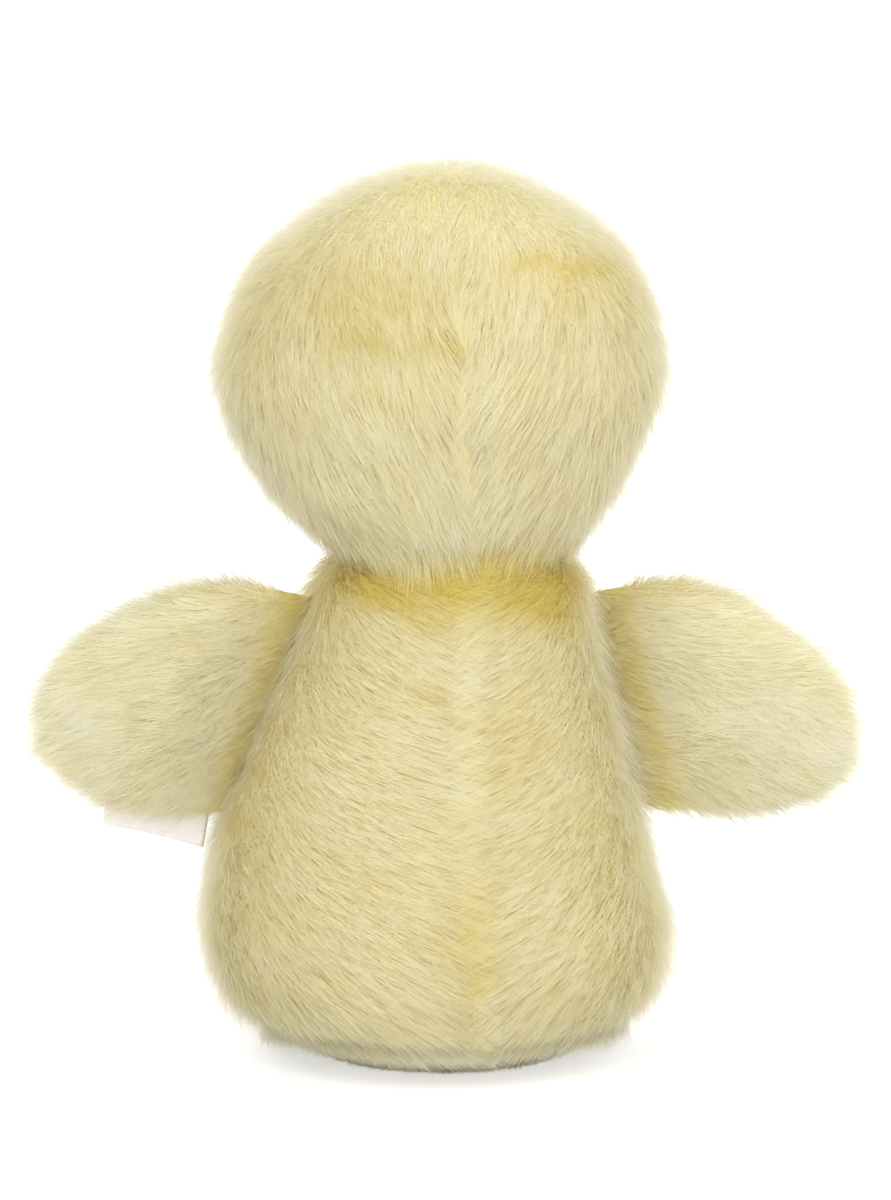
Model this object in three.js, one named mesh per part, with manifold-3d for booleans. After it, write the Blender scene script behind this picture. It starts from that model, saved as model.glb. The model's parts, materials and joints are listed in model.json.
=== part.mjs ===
// A plush duck: a pear-shaped body with a large round head, two wings and two feet, all of soft pile.
// Millimetres, +Z up. The duck faces -Y and its left is +X. The origin is the middle of its flat base.
// Every skin panel is a closed shell as thick as its cloth and pile, sewn edge to edge to the next one.

import * as THREE from 'three';
import { mergeVertices } from 'three/addons/utils/BufferGeometryUtils.js';
import Module from 'manifold-3d';

const wasm = await Module();
wasm.setup();

// Fits and cloth
const clearance = 0.3; // between pieces that touch
const overrun = 2; // how far a cut runs past what it cuts
const plushThickness = 7.5; // cloth and pile of the lemon plush
const feltThickness = 3; // bill and feet

// Body
const bodyWidth = 131;
const bodyDepth = 115;
const neckHeight = 142; // the neck seam, over the floor
const neckWidth = 72;
const baseWidth = 74; // the flat that the duck sits on
const baseDepth = 64;
const baseSeamHeight = 10;
const bellyLean = 5; // how far the belly stands forward
const bodySeamDrift = 7; // how far the back seam wanders to the right, low down
const pelletHeight = 30; // top of the pellet bag

// Neck
const pivotDrop = 24; // centre of the ball that the head turns on, under the neck seam
const socketClearance = 0.9;

// Head
const headWidth = 126;
const headDepth = 114;
const headHeight = 108; // over the neck seam
const crownHeight = 66; // the crown seam, over the neck seam
const headLean = 4;
const headSeamDrift = 5;

// Eyes
const eyeRise = 56; // over the neck seam
const eyeSpacing = 56;
const eyeWidth = 11;
const eyeDome = 4.5;
const eyeSink = 3; // how deep the eye sits in the pile
const shankWidth = 4;
const shankLength = 11;
const washerWidth = 14;
const washerThickness = 2;

// Bill
const billRise = 36; // over the neck seam
const billWidth = 46;
const billLength = 30; // in front of the face
const billThickness = 20;
const billRoot = 10; // how far back its shape starts, inside the face

// Wings
const wingDrop = 13; // top end of the wing seam, under the neck seam
const wingSeamHeight = 64; // from the top end to the lower one
const wingReach = 58.5;
const wingThickness = 26;
const wingCup = 6; // how far the tip curves forward

// Feet
const footLength = 46;
const footWidth = 38;
const footThickness = 14;
const soleThickness = 5;
const footTurn = (28 / 180) * Math.PI; // round the base from the front

// Care label
const labelWidth = 18;
const labelLength = 30;
const labelThickness = 0.4; // each of its two layers
const labelGap = 0.4; // between the layers
const labelStart = 3; // how far outside the seam it shows
const labelDrop = 9; // how far its lower edge hangs below the wing seam
const labelTilt = (24 / 180) * Math.PI; // forwards, off the wing
const labelDroop = (8 / 180) * Math.PI;

// Outlines. Each is a list of shares of the sizes above.
// Height share of the neck height, width share of the body width, depth share of the body depth.
const bodyProfileShares = [
  [0.014, 0.645, 0.64],
  [0.035, 0.738, 0.735],
  [0.063, 0.823, 0.82],
  [0.099, 0.893, 0.89],
  [0.141, 0.948, 0.945],
  [0.19, 0.986, 0.985],
  [0.246, 1, 1],
  [0.36, 0.972, 0.98],
  [0.457, 0.925, 0.935],
  [0.56, 0.862, 0.875],
  [0.66, 0.793, 0.81],
  [0.76, 0.716, 0.74],
  [0.85, 0.655, 0.69],
  [0.92, 0.612, 0.65],
];
// Height share of the head height, share of the head's width and depth.
const headProfileShares = [
  [0.04, 0.64],
  [0.09, 0.715],
  [0.19, 0.84],
  [0.31, 0.935],
  [0.45, 1],
  [0.56, 0.975],
  [0.66, 0.913],
  [0.76, 0.805],
  [0.86, 0.625],
  [0.945, 0.38],
  [0.99, 0.14],
];
// Share of the way down the wing seam, share of the wing's reach.
const wingOutlineShares = [
  [0, 0],
  [0.045, 0.31],
  [0.11, 0.51],
  [0.22, 0.67],
  [0.34, 0.79],
  [0.455, 0.89],
  [0.57, 0.965],
  [0.7, 1],
  [0.865, 0.97],
  [1, 0.855],
  [1.065, 0.68],
  [1.08, 0.48],
  [1.05, 0.18],
  [1, 0],
];
const wingMiddleShares = [0.55, 0.5];
const wingRootShare = 0.12; // thickness that is left at the seam
const wingFullShare = 0.5; // share of the reach where the wing has its full thickness
// Share of the foot's length, share of its half width: heel, side, three webbed toes.
const footOutlineShares = [
  [0, 0.6],
  [0.22, 0.7],
  [0.46, 0.85],
  [0.7, 0.98],
  [0.85, 1],
  [0.95, 0.87],
  [0.95, 0.68],
  [0.88, 0.48],
  [0.97, 0.32],
  [1, 0.11],
];
const footMiddleShare = 0.55;
const footFullShare = 0.6;
// Share of the bill's whole length, share of its width, share of its thickness.
const billProfileShares = [
  [0, 0.7, 0.85],
  [0.25, 0.74, 0.98],
  [0.45, 0.85, 1],
  [0.65, 0.97, 0.84],
  [0.8, 1, 0.66],
  [0.91, 0.88, 0.48],
  [0.98, 0.55, 0.28],
];
const pillowShares = [1, 0.93, 0.78, 0.55, 0.28]; // rings of a pillow, from its edge inwards

// Facets
const around = 24; // round the body and the head, a multiple of four
const baseRows = 2;
const pelletRows = 2;
const bodyRows = 8;
const headRows = 8;
const crownRows = 3;
const neckRows = 4;
const freeEdgePoints = 20; // along a wing's free edge
const wingSeamPoints = 4; // along its straight seam
const billSides = 14;
const eyeSides = 16;
const domeSteps = 4;
const searchSteps = 40;

const quarterTurn = Math.PI / 2;
const fullTurn = Math.PI * 2;
const up = new THREE.Vector3(0, 0, 1);
const pivotHeight = neckHeight - pivotDrop;
const pivot = new THREE.Vector3(0, 0, pivotHeight);
const wingTop = neckHeight - wingDrop;
const wingBottom = wingTop - wingSeamHeight;
const ballRadius = Math.hypot(neckWidth / 2, pivotDrop);
const socketRadius = ballRadius + socketClearance;

// Materials
function plush() {
  return new THREE.MeshStandardMaterial({ color: '#e3d9ab', roughness: 1, metalness: 0 });
}

function felt() {
  return new THREE.MeshStandardMaterial({ color: '#e9a545', roughness: 0.95, metalness: 0 });
}

function fibre() {
  return new THREE.MeshStandardMaterial({ color: '#f3f1ea', roughness: 1, metalness: 0 });
}

function calico() {
  return new THREE.MeshStandardMaterial({ color: '#e9e0cc', roughness: 0.95, metalness: 0 });
}

function satin() {
  return new THREE.MeshStandardMaterial({ color: '#efebe8', roughness: 0.45, metalness: 0 });
}

function glossBlack() {
  return new THREE.MeshStandardMaterial({ color: '#0c0b0b', roughness: 0.12, metalness: 0 });
}

function whitePlastic() {
  return new THREE.MeshStandardMaterial({ color: '#e6e4df', roughness: 0.5, metalness: 0 });
}

function named(name, geometry, material) {
  const mesh = new THREE.Mesh(geometry, material);
  mesh.name = name;
  return mesh;
}

// Closed surfaces
function closedGeometry(points, faces) {
  let volume = 0;
  for (const [a, b, c] of faces) {
    volume += points[a].dot(new THREE.Vector3().crossVectors(points[b], points[c]));
  }
  const outward = volume > 0 ? faces : faces.map(([a, b, c]) => [a, c, b]);
  const geometry = new THREE.BufferGeometry().setFromPoints(points);
  geometry.setIndex(outward.flat());
  geometry.computeVertexNormals();
  return geometry;
}

// A closed surface through rings of points. A ring of one point is a pole.
function ringSolid(rings) {
  const faces = [];
  let here = 0;
  for (let i = 0; i + 1 < rings.length; i++) {
    const next = here + rings[i].length;
    const fromPole = rings[i].length === 1;
    const toPole = rings[i + 1].length === 1;
    const sides = Math.max(rings[i].length, rings[i + 1].length);
    for (let j = 0; j < sides; j++) {
      const k = (j + 1) % sides;
      if (!fromPole) {
        faces.push([here + j, here + k, toPole ? next : next + k]);
      }
      if (!toPole) {
        faces.push([fromPole ? here : here + j, next + k, next + j]);
      }
    }
    here = next;
  }
  return closedGeometry(rings.flat(), faces);
}

// A closed shell between two grids of points, with a wall round their common edge.
function shellSolid(outer, inner) {
  const rows = outer.length;
  const columns = outer[0].length;
  const innerStart = rows * columns;
  const faces = [];
  const quad = (a, b, c, d) => faces.push([a, b, c], [a, c, d]);
  for (let row = 0; row + 1 < rows; row++) {
    for (let column = 0; column + 1 < columns; column++) {
      const a = row * columns + column;
      const d = a + columns;
      quad(a, a + 1, d + 1, d);
      quad(innerStart + a, innerStart + d, innerStart + d + 1, innerStart + a + 1);
    }
  }
  const edge = [];
  for (let column = 0; column + 1 < columns; column++) {
    edge.push(column);
  }
  for (let row = 0; row + 1 < rows; row++) {
    edge.push(row * columns + columns - 1);
  }
  for (let column = columns - 1; column > 0; column--) {
    edge.push((rows - 1) * columns + column);
  }
  for (let row = rows - 1; row > 0; row--) {
    edge.push(row * columns);
  }
  edge.forEach((a, i) => {
    const b = edge[(i + 1) % edge.length];
    quad(b, a, innerStart + a, innerStart + b);
  });
  return closedGeometry([...outer.flat(), ...inner.flat()], faces);
}

function toSolid(geometry) {
  const bare = new THREE.BufferGeometry();
  bare.setAttribute('position', geometry.getAttribute('position'));
  bare.setIndex(geometry.getIndex());
  const merged = mergeVertices(bare);
  const vertProperties = new Float32Array(merged.getAttribute('position').array);
  const triVerts = new Uint32Array(merged.getIndex().array);
  return new wasm.Manifold(new wasm.Mesh({ numProp: 3, vertProperties, triVerts }));
}

function toGeometry(solid) {
  const { vertProperties, triVerts } = solid.getMesh();
  const geometry = new THREE.BufferGeometry();
  geometry.setAttribute('position', new THREE.BufferAttribute(vertProperties, 3));
  geometry.setIndex(new THREE.BufferAttribute(triVerts, 1));
  geometry.computeVertexNormals();
  return geometry;
}

function steps(from, to, count) {
  return Array.from({ length: count + 1 }, (_, i) => from + ((to - from) * i) / count);
}

function middleOf(ring) {
  const sum = ring.reduce((total, point) => total.add(point), new THREE.Vector3());
  return sum.divideScalar(ring.length);
}

function smoothShare(value) {
  return THREE.MathUtils.smoothstep(value, 0, 1);
}

// Swelling forms. A form is a curve of half width, half depth and height, run round the upright axis.
function ballReachAt(height) {
  const rise = height - pivotHeight;
  return rise > 0 ? Math.sqrt(Math.max(ballRadius ** 2 - rise ** 2, 0)) : Infinity;
}

function bodyForm() {
  const stations = [new THREE.Vector3(baseWidth / 2, baseDepth / 2, 0)];
  for (const [heightShare, widthShare, depthShare] of bodyProfileShares) {
    const height = heightShare * neckHeight;
    const reach = ballReachAt(height); // the shoulders stay inside the ball that the head turns on
    const halfWidth = Math.min((widthShare * bodyWidth) / 2, reach);
    const halfDepth = Math.min((depthShare * bodyDepth) / 2, reach);
    stations.push(new THREE.Vector3(halfWidth, halfDepth, height));
  }
  stations.push(new THREE.Vector3(neckWidth / 2, neckWidth / 2, neckHeight));
  const curve = new THREE.CatmullRomCurve3(stations);
  return {
    curve,
    length: curve.getLength(),
    leanAt: (height) => -bellyLean * Math.sin((Math.PI * height) / neckHeight),
    seamAt: (share) => quarterTurn + Math.asin(bodySeamDrift / (bodyWidth / 2)) * (1 - share),
    fit: (point, inset) => point.setZ(Math.max(point.z, inset)),
  };
}

function headForm() {
  const rimRadius = Math.sqrt(socketRadius ** 2 - pivotDrop ** 2);
  const stations = [new THREE.Vector3(rimRadius, rimRadius, neckHeight)];
  for (const [heightShare, share] of headProfileShares) {
    const height = neckHeight + heightShare * headHeight;
    stations.push(new THREE.Vector3((share * headWidth) / 2, (share * headDepth) / 2, height));
  }
  stations.push(new THREE.Vector3(0, 0, neckHeight + headHeight));
  const curve = new THREE.CatmullRomCurve3(stations);
  return {
    curve,
    length: curve.getLength(),
    leanAt: (height) => -headLean * Math.sin((Math.PI * (height - neckHeight)) / headHeight),
    seamAt: (share) => quarterTurn + Math.asin(headSeamDrift / (headWidth / 2)) * (1 - share),
    fit: (point) => {
      // Nothing of the head reaches into the socket.
      const fromPivot = point.clone().sub(pivot);
      return fromPivot.length() < socketRadius ? fromPivot.setLength(socketRadius).add(pivot) : point;
    },
  };
}

// The share of a form's curve that lies at this height.
function shareAt(form, height) {
  let low = 0;
  let high = 1;
  for (let i = 0; i < searchSteps; i++) {
    const middle = (low + high) / 2;
    if (form.curve.getPointAt(middle).z < height) {
      low = middle;
    } else {
      high = middle;
    }
  }
  return (low + high) / 2;
}

// A point of a form, this deep under its surface.
function pointOn(form, angle, share, inset) {
  const station = form.curve.getPointAt(share);
  const along = form.curve.getTangentAt(share);
  const outward = new THREE.Vector2(along.z, -(along.x + along.y) / 2).normalize();
  const halfWidth = Math.max(station.x - inset * outward.x, 0);
  const halfDepth = Math.max(station.y - inset * outward.x, 0);
  const x = halfWidth * Math.cos(angle);
  const y = form.leanAt(station.z) + halfDepth * Math.sin(angle);
  return form.fit(new THREE.Vector3(x, y, station.z - inset * outward.y), inset);
}

// The angle of a column. Columns draw together and apart at the back, so that one follows the back seam.
function angleAt(form, column, share) {
  const quarters = (4 * column) / around;
  const seam = form.seamAt(share);
  if (quarters <= 1) {
    return seam * quarters;
  }
  return quarters <= 2 ? seam + (Math.PI - seam) * (quarters - 1) : quarterTurn * quarters;
}

function ringOn(form, share, inset) {
  const columns = Array.from({ length: around }, (_, column) => column);
  return columns.map((column) => pointOn(form, angleAt(form, column, share), share, inset));
}

function poleOn(form, inset) {
  const top = form.curve.getPointAt(1);
  return new THREE.Vector3(0, form.leanAt(top.z), top.z - inset);
}

// A side panel between two columns and over a list of rows.
function sidePanel(form, fromColumn, toColumn, shares, thickness) {
  const grid = (inset) => shares.map((share) => {
    const row = [];
    for (let column = fromColumn; column <= toColumn; column++) {
      const angle = angleAt(form, column, share);
      const point = pointOn(form, angle, share, inset);
      const station = form.curve.getPointAt(share);
      const along = new THREE.Vector3(-station.x * Math.sin(angle), station.y * Math.cos(angle), 0);
      const side = (column === fromColumn ? 1 : 0) - (column === toColumn ? 1 : 0);
      row.push(point.addScaledVector(along.normalize(), (side * clearance) / 2));
    }
    return row;
  });
  return shellSolid(grid(0), grid(thickness));
}

// Body
const body = bodyForm();
const bodySeamShare = shareAt(body, baseSeamHeight);
const pelletShare = shareAt(body, pelletHeight);
const bodySeamGap = clearance / 2 / body.length;

function bodyPanels() {
  const shares = [
    bodySeamShare + bodySeamGap,
    ...steps(bodySeamShare, pelletShare, pelletRows).slice(1),
    ...steps(pelletShare, 1, bodyRows).slice(1),
  ];
  const panel = (from, to) => sidePanel(body, from, to, shares, plushThickness);
  return [
    named('body_back_left', panel(0, around / 4), plush()),
    named('body_back_right', panel(around / 4, around / 2), plush()),
    named('body_belly', panel(around / 2, around), plush()),
  ];
}

function bodyBase() {
  const shares = steps(0, bodySeamShare - bodySeamGap, baseRows);
  const outer = shares.map((share) => ringOn(body, share, 0));
  const inner = shares.map((share) => ringOn(body, share, plushThickness));
  const rings = [[middleOf(outer[0])], ...outer, ...inner.reverse()];
  rings.push([middleOf(rings[rings.length - 1])]);
  return named('body_base', ringSolid(rings), plush());
}

function filledBetween(form, shares) {
  const rings = shares.map((share) => ringOn(form, share, plushThickness + clearance));
  return [[middleOf(rings[0])], ...rings, [middleOf(rings[rings.length - 1])]];
}

function pelletBag() {
  const shares = [
    ...steps(0, bodySeamShare, baseRows),
    ...steps(bodySeamShare, pelletShare - bodySeamGap, pelletRows).slice(1),
  ];
  return named('pellet_bag', ringSolid(filledBetween(body, shares)), calico());
}

function bodyFilling() {
  const shares = steps(pelletShare, 1, bodyRows);
  shares[0] += bodySeamGap;
  return named('body_filling', ringSolid(filledBetween(body, shares)), fibre());
}

// Neck: a cap of the ball that the head turns on
function ballRing(radius, slope) {
  return Array.from({ length: around }, (_, i) => {
    const angle = (i / around) * fullTurn;
    const direction = new THREE.Vector3(Math.cos(angle), Math.sin(angle), 0).multiplyScalar(Math.sin(slope));
    return direction.addScaledVector(up, Math.cos(slope)).multiplyScalar(radius).add(pivot);
  });
}

function neckFilling() {
  const lowest = Math.acos((pivotDrop + clearance) / ballRadius);
  const rings = steps(lowest, 0, neckRows).slice(0, -1).map((slope) => ballRing(ballRadius, slope));
  const top = pivot.clone().addScaledVector(up, ballRadius);
  return named('neck_filling', ringSolid([[middleOf(rings[0])], ...rings, [top]]), fibre());
}

// Head
const head = headForm();
const crownShare = shareAt(head, neckHeight + crownHeight);
const headSeamGap = clearance / 2 / head.length;

function headPanels() {
  const shares = steps(0, crownShare, headRows);
  shares[headRows] -= headSeamGap;
  const quarter = around / 4;
  const names = ['head_back_left', 'head_back_right', 'head_cheek_right', 'head_cheek_left'];
  return names.map((name, i) => {
    const panel = sidePanel(head, i * quarter, (i + 1) * quarter, shares, plushThickness);
    return named(name, name.includes('cheek') ? withEyeHole(panel, name) : panel, plush());
  });
}

function headCrown() {
  const shares = steps(crownShare, 1, crownRows).slice(0, -1);
  shares[0] += headSeamGap;
  const outer = shares.map((share) => ringOn(head, share, 0));
  const inner = shares.map((share) => ringOn(head, share, plushThickness));
  const rings = [[poleOn(head, 0)], ...outer.reverse(), ...inner, [poleOn(head, plushThickness)]];
  return named('head_crown', ringSolid(rings), plush());
}

function headFilling() {
  const inset = plushThickness + clearance;
  const shares = [...steps(0, crownShare, headRows), ...steps(crownShare, 1, crownRows).slice(1, -1)];
  const rings = shares.map((share) => ringOn(head, share, inset));
  const rimSlope = rings[0][0].clone().sub(pivot).angleTo(up);
  const socket = steps(0, rimSlope, neckRows).slice(1, -1).map((slope) => ballRing(socketRadius, slope));
  const socketTop = pivot.clone().addScaledVector(up, socketRadius);
  let filling = toSolid(ringSolid([[socketTop], ...socket, ...rings, [poleOn(head, inset)]]));
  for (const side of [1, -1]) {
    filling = filling.subtract(toSolid(eyeRoom().applyMatrix4(eyeMatrix(side))));
  }
  return named('head_filling', toGeometry(filling), fibre());
}

// Eyes: a dome on a shank that runs through the cheek and is locked by a washer inside
const shankRadius = shankWidth / 2;
const washerRadius = washerWidth / 2;
const cheekLeft = plushThickness - eyeSink; // cloth and pile left under the eye
const washerSeat = cheekLeft + clearance;

function eyeMatrix(side) {
  const share = shareAt(head, neckHeight + eyeRise);
  const station = head.curve.getPointAt(share);
  const angle = -Math.acos((side * eyeSpacing) / 2 / station.x);
  const place = pointOn(head, angle, share, eyeSink);
  const outward = pointOn(head, angle, share, 0).sub(place).normalize();
  const turn = new THREE.Quaternion().setFromUnitVectors(new THREE.Vector3(0, 1, 0), outward);
  return new THREE.Matrix4().compose(place, turn, new THREE.Vector3(1, 1, 1));
}

function lathe(profile) {
  const points = profile.map(([radius, along]) => new THREE.Vector2(radius, along));
  return new THREE.LatheGeometry(points, eyeSides);
}

function eyeShape() {
  const dome = steps(0, quarterTurn, domeSteps).map((turn) => [
    (eyeWidth / 2) * Math.cos(turn),
    eyeDome * Math.sin(turn),
  ]);
  dome[domeSteps][0] = 0;
  return lathe([[0, -shankLength], [shankRadius, -shankLength], [shankRadius, 0], ...dome]);
}

// What the eye, its shank and its washer take out of the cheek and of the filling behind it.
function eyeRoom() {
  const hole = shankRadius + clearance;
  const rim = eyeWidth / 2 + clearance;
  const pocket = washerRadius + clearance;
  const inside = -(shankLength + clearance);
  const outside = eyeSink + overrun;
  return lathe([
    [0, inside],
    [pocket, inside],
    [pocket, -cheekLeft],
    [hole, -cheekLeft],
    [hole, -clearance],
    [rim, -clearance],
    [rim, outside],
    [0, outside],
  ]);
}

function washerShape() {
  const bore = shankRadius + clearance;
  const far = -washerSeat - washerThickness;
  const near = -washerSeat;
  return lathe([[bore, far], [washerRadius, far], [washerRadius, near], [bore, near], [bore, far]]);
}

function withEyeHole(panel, name) {
  const side = name.includes('left') ? 1 : -1;
  return toGeometry(toSolid(panel).subtract(toSolid(eyeRoom().applyMatrix4(eyeMatrix(side)))));
}

function eyes() {
  const group = new THREE.Group();
  for (const [side, end] of [[1, 'left'], [-1, 'right']]) {
    const socket = new THREE.Group();
    socket.applyMatrix4(eyeMatrix(side));
    socket.add(named(`eye_${end}`, eyeShape(), glossBlack()));
    socket.add(named(`eye_washer_${end}`, washerShape(), whitePlastic()));
    group.add(socket);
  }
  return group;
}

// Bill: two felt halves sewn along the mouth over a filling, cut to the curve of the face
function billLoft(inset) {
  const whole = billRoot + billLength;
  const rings = billProfileShares.map(([alongShare, widthShare, thickShare]) => {
    const halfWidth = widthShare * (billWidth / 2 - inset);
    const halfThickness = thickShare * (billThickness / 2 - inset);
    const forward = alongShare * (whole - inset) - billRoot;
    return Array.from({ length: billSides }, (_, i) => {
      const turn = (i / billSides) * fullTurn;
      return new THREE.Vector3(halfWidth * Math.cos(turn), -forward, halfThickness * Math.sin(turn));
    });
  });
  const tip = new THREE.Vector3(0, inset - billLength, 0);
  return ringSolid([[middleOf(rings[0])], ...rings, [tip]]);
}

function bill() {
  const group = new THREE.Group();
  const face = pointOn(head, -quarterTurn, shareAt(head, neckHeight + billRise), 0);
  group.position.copy(face);
  const faceRings = [...steps(0, crownShare, headRows), ...steps(crownShare, 1, crownRows).slice(1, -1)];
  const grown = faceRings.map((share) => ringOn(head, share, -clearance));
  const socketCover = [middleOf(grown[0])];
  const faceSolid = ringSolid([socketCover, ...grown, [poleOn(head, -clearance)]]);
  const faceCut = toSolid(faceSolid.translate(-face.x, -face.y, -face.z));
  const box = new THREE.BoxGeometry(billWidth * 2, billLength * 4, billThickness);
  const lift = (billThickness + clearance) / 2;
  const above = toSolid(box.clone().translate(0, 0, lift));
  const below = toSolid(box.clone().translate(0, 0, -lift));
  const shell = toSolid(billLoft(0)).subtract(toSolid(billLoft(feltThickness))).subtract(faceCut);
  const filling = toSolid(billLoft(feltThickness + clearance)).subtract(faceCut);
  group.add(named('bill_upper', toGeometry(shell.intersect(above)), felt()));
  group.add(named('bill_lower', toGeometry(shell.intersect(below)), felt()));
  group.add(named('bill_filling', toGeometry(filling), fibre()));
  return group;
}

// Wings: pillows sewn into the side seams. In a wing's own frame X runs out from the seam, Y to the back
// and Z up along the seam, from its top end.
function wingSeam(side) {
  const ends = [wingTop, wingBottom].map((height) => {
    const point = pointOn(body, 0, shareAt(body, height), 0);
    return point.setX(point.x * side);
  });
  const rise = ends[0].clone().sub(ends[1]);
  const zAxis = rise.clone().normalize();
  const xAxis = new THREE.Vector3(0, 1, 0).cross(zAxis).normalize();
  const yAxis = new THREE.Vector3().crossVectors(zAxis, xAxis);
  // The seam lies clear of the body where the body swells most between its ends.
  const bulges = steps(wingTop, wingBottom, bodyRows).map((height) => {
    const point = pointOn(body, 0, shareAt(body, height), 0);
    return point.setX(point.x * side).sub(ends[0]).dot(xAxis) * side;
  });
  const origin = ends[0].clone().addScaledVector(xAxis, side * (clearance + Math.max(...bulges)));
  return { origin, length: rise.length(), basis: new THREE.Matrix4().makeBasis(xAxis, yAxis, zAxis) };
}

function wingOutline(seamLength) {
  const knots = wingOutlineShares.map(([down, out]) => new THREE.Vector2(down * seamLength, out * wingReach));
  const free = new THREE.SplineCurve(knots).getSpacedPoints(freeEdgePoints - 1);
  const seam = steps(seamLength, 0, wingSeamPoints + 1).slice(1, -1);
  return [...free, ...seam.map((down) => new THREE.Vector2(down, 0))];
}

// Rings of one half of a wing, from its edge to its middle.
function wingRings(side, seamLength, face, inset, lift) {
  const middle = new THREE.Vector2(wingMiddleShares[0] * seamLength, wingMiddleShares[1] * wingReach);
  const drawnIn = 1 - inset / middle.y;
  const swell = wingThickness / 2 - inset;
  const place = (spot, share) => {
    const taper = smoothShare(spot.y / (wingFullShare * wingReach));
    const fullness = wingRootShare + (1 - wingRootShare) * taper;
    const height = lift + swell * Math.sqrt(1 - share ** 2) * fullness;
    const cup = wingCup * (spot.y / wingReach) ** 2;
    return new THREE.Vector3(side * spot.y, face * height - cup, -spot.x);
  };
  const outline = wingOutline(seamLength);
  const rings = pillowShares.map((share) => outline.map((edge) => {
    const spot = middle.clone().lerp(edge, share * drawnIn);
    return place(spot, share);
  }));
  return [...rings, [place(middle, 0)]];
}

function wing(side, end) {
  const { origin, length, basis } = wingSeam(side);
  const group = new THREE.Group();
  group.position.copy(origin);
  group.quaternion.setFromRotationMatrix(basis);
  for (const [face, where] of [[1, 'back'], [-1, 'front']]) {
    const outer = wingRings(side, length, face, 0, clearance / 2);
    const inner = wingRings(side, length, face, plushThickness, clearance / 2);
    group.add(named(`wing_${where}_${end}`, ringSolid([...outer.reverse(), ...inner]), plush()));
  }
  const inset = plushThickness + clearance;
  const backHalf = wingRings(side, length, 1, inset, 0);
  const frontHalf = wingRings(side, length, -1, inset, 0).slice(1);
  group.add(named(`wing_filling_${end}`, ringSolid([...frontHalf.reverse(), ...backHalf]), fibre()));
  if (side > 0) {
    group.add(careLabel(length));
  }
  return group;
}

// The care label: a folded satin loop, caught in the left side seam in front of the wing
function careLabel(seamLength) {
  const bend = labelThickness + labelGap / 2;
  const straight = labelLength - bend;
  const loop = new THREE.Shape();
  loop.moveTo(0, 0);
  loop.lineTo(straight, 0);
  loop.absarc(straight, bend, bend, -quarterTurn, quarterTurn, false);
  loop.lineTo(0, 2 * bend);
  loop.lineTo(0, 2 * bend - labelThickness);
  loop.lineTo(straight, 2 * bend - labelThickness);
  loop.absarc(straight, bend, labelGap / 2, quarterTurn, -quarterTurn, true);
  loop.lineTo(0, labelThickness);
  loop.closePath();
  const geometry = new THREE.ExtrudeGeometry(loop, {
    depth: labelWidth,
    bevelEnabled: false,
    curveSegments: domeSteps,
  });
  geometry.translate(0, -2 * bend, 0);
  const label = named('care_label', geometry, satin());
  const forward = labelStart * Math.tan(labelTilt) + bend;
  label.position.set(labelStart, -forward, -(seamLength + labelDrop));
  label.rotation.set(0, labelDroop, -labelTilt, 'ZYX');
  return label;
}

// Feet: flat felt pillows with three webbed toes, sewn to the base along their heels.
// In a foot's own frame -Y runs forwards from the heel and Z is the height over the floor.
function footOutline() {
  const half = footOutlineShares.map(([along, across]) => [along * footLength, (across * footWidth) / 2]);
  const right = half.map(([along, across]) => new THREE.Vector2(-across, -along));
  const left = half.map(([along, across]) => new THREE.Vector2(across, -along)).reverse();
  return [...right, ...left];
}

function footRings(inset, lift, swell) {
  const middle = new THREE.Vector2(0, -footMiddleShare * footLength);
  const drawnIn = 1 - inset / (footWidth / 2);
  const place = (spot, share) => {
    const taper = smoothShare(-spot.y / (footFullShare * footLength));
    return new THREE.Vector3(spot.x, spot.y, lift + swell * Math.sqrt(1 - share ** 2) * taper);
  };
  const rings = pillowShares.map((share) => footOutline().map((edge) => {
    const spot = middle.clone().lerp(edge, share * drawnIn);
    return place(spot, share);
  }));
  return [...rings, [place(middle, 0)]];
}

function footSole() {
  const top = footRings(0, soleThickness, 0);
  const edge = footRings(feltThickness / 2, 0, 0)[0];
  return ringSolid([[middleOf(edge)], edge, ...top]);
}

function foot(side, end) {
  const angle = -quarterTurn + side * footTurn;
  const share = shareAt(body, soleThickness);
  const station = body.curve.getPointAt(share);
  const outward = new THREE.Vector3(Math.cos(angle) / station.x, Math.sin(angle) / station.y, 0).normalize();
  const group = new THREE.Group();
  group.position.copy(pointOn(body, angle, share, 0)).addScaledVector(outward, clearance).setZ(0);
  group.rotation.z = Math.atan2(outward.x, -outward.y);
  const swell = footThickness - soleThickness - clearance;
  const lift = soleThickness + clearance;
  const outer = footRings(0, lift, swell);
  const inner = footRings(feltThickness, lift, swell - feltThickness);
  const stuffed = footRings(feltThickness + clearance, lift, swell - feltThickness - clearance);
  group.add(named(`foot_upper_${end}`, ringSolid([...outer.reverse(), ...inner]), felt()));
  group.add(named(`foot_sole_${end}`, footSole(), felt()));
  group.add(named(`foot_filling_${end}`, ringSolid([[middleOf(stuffed[0])], ...stuffed]), fibre()));
  return group;
}

const duck = new THREE.Group();
duck.add(...bodyPanels(), bodyBase(), bodyFilling(), pelletBag());
duck.add(neckFilling());
duck.add(...headPanels(), headCrown(), headFilling(), eyes(), bill());
duck.add(wing(1, 'left'), wing(-1, 'right'));
duck.add(foot(1, 'left'), foot(-1, 'right'));

export default duck;
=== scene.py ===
# A plush duck, seen from behind: pale lemon pile on head, body and wings, orange felt bill and feet.
import json
import math

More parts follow.
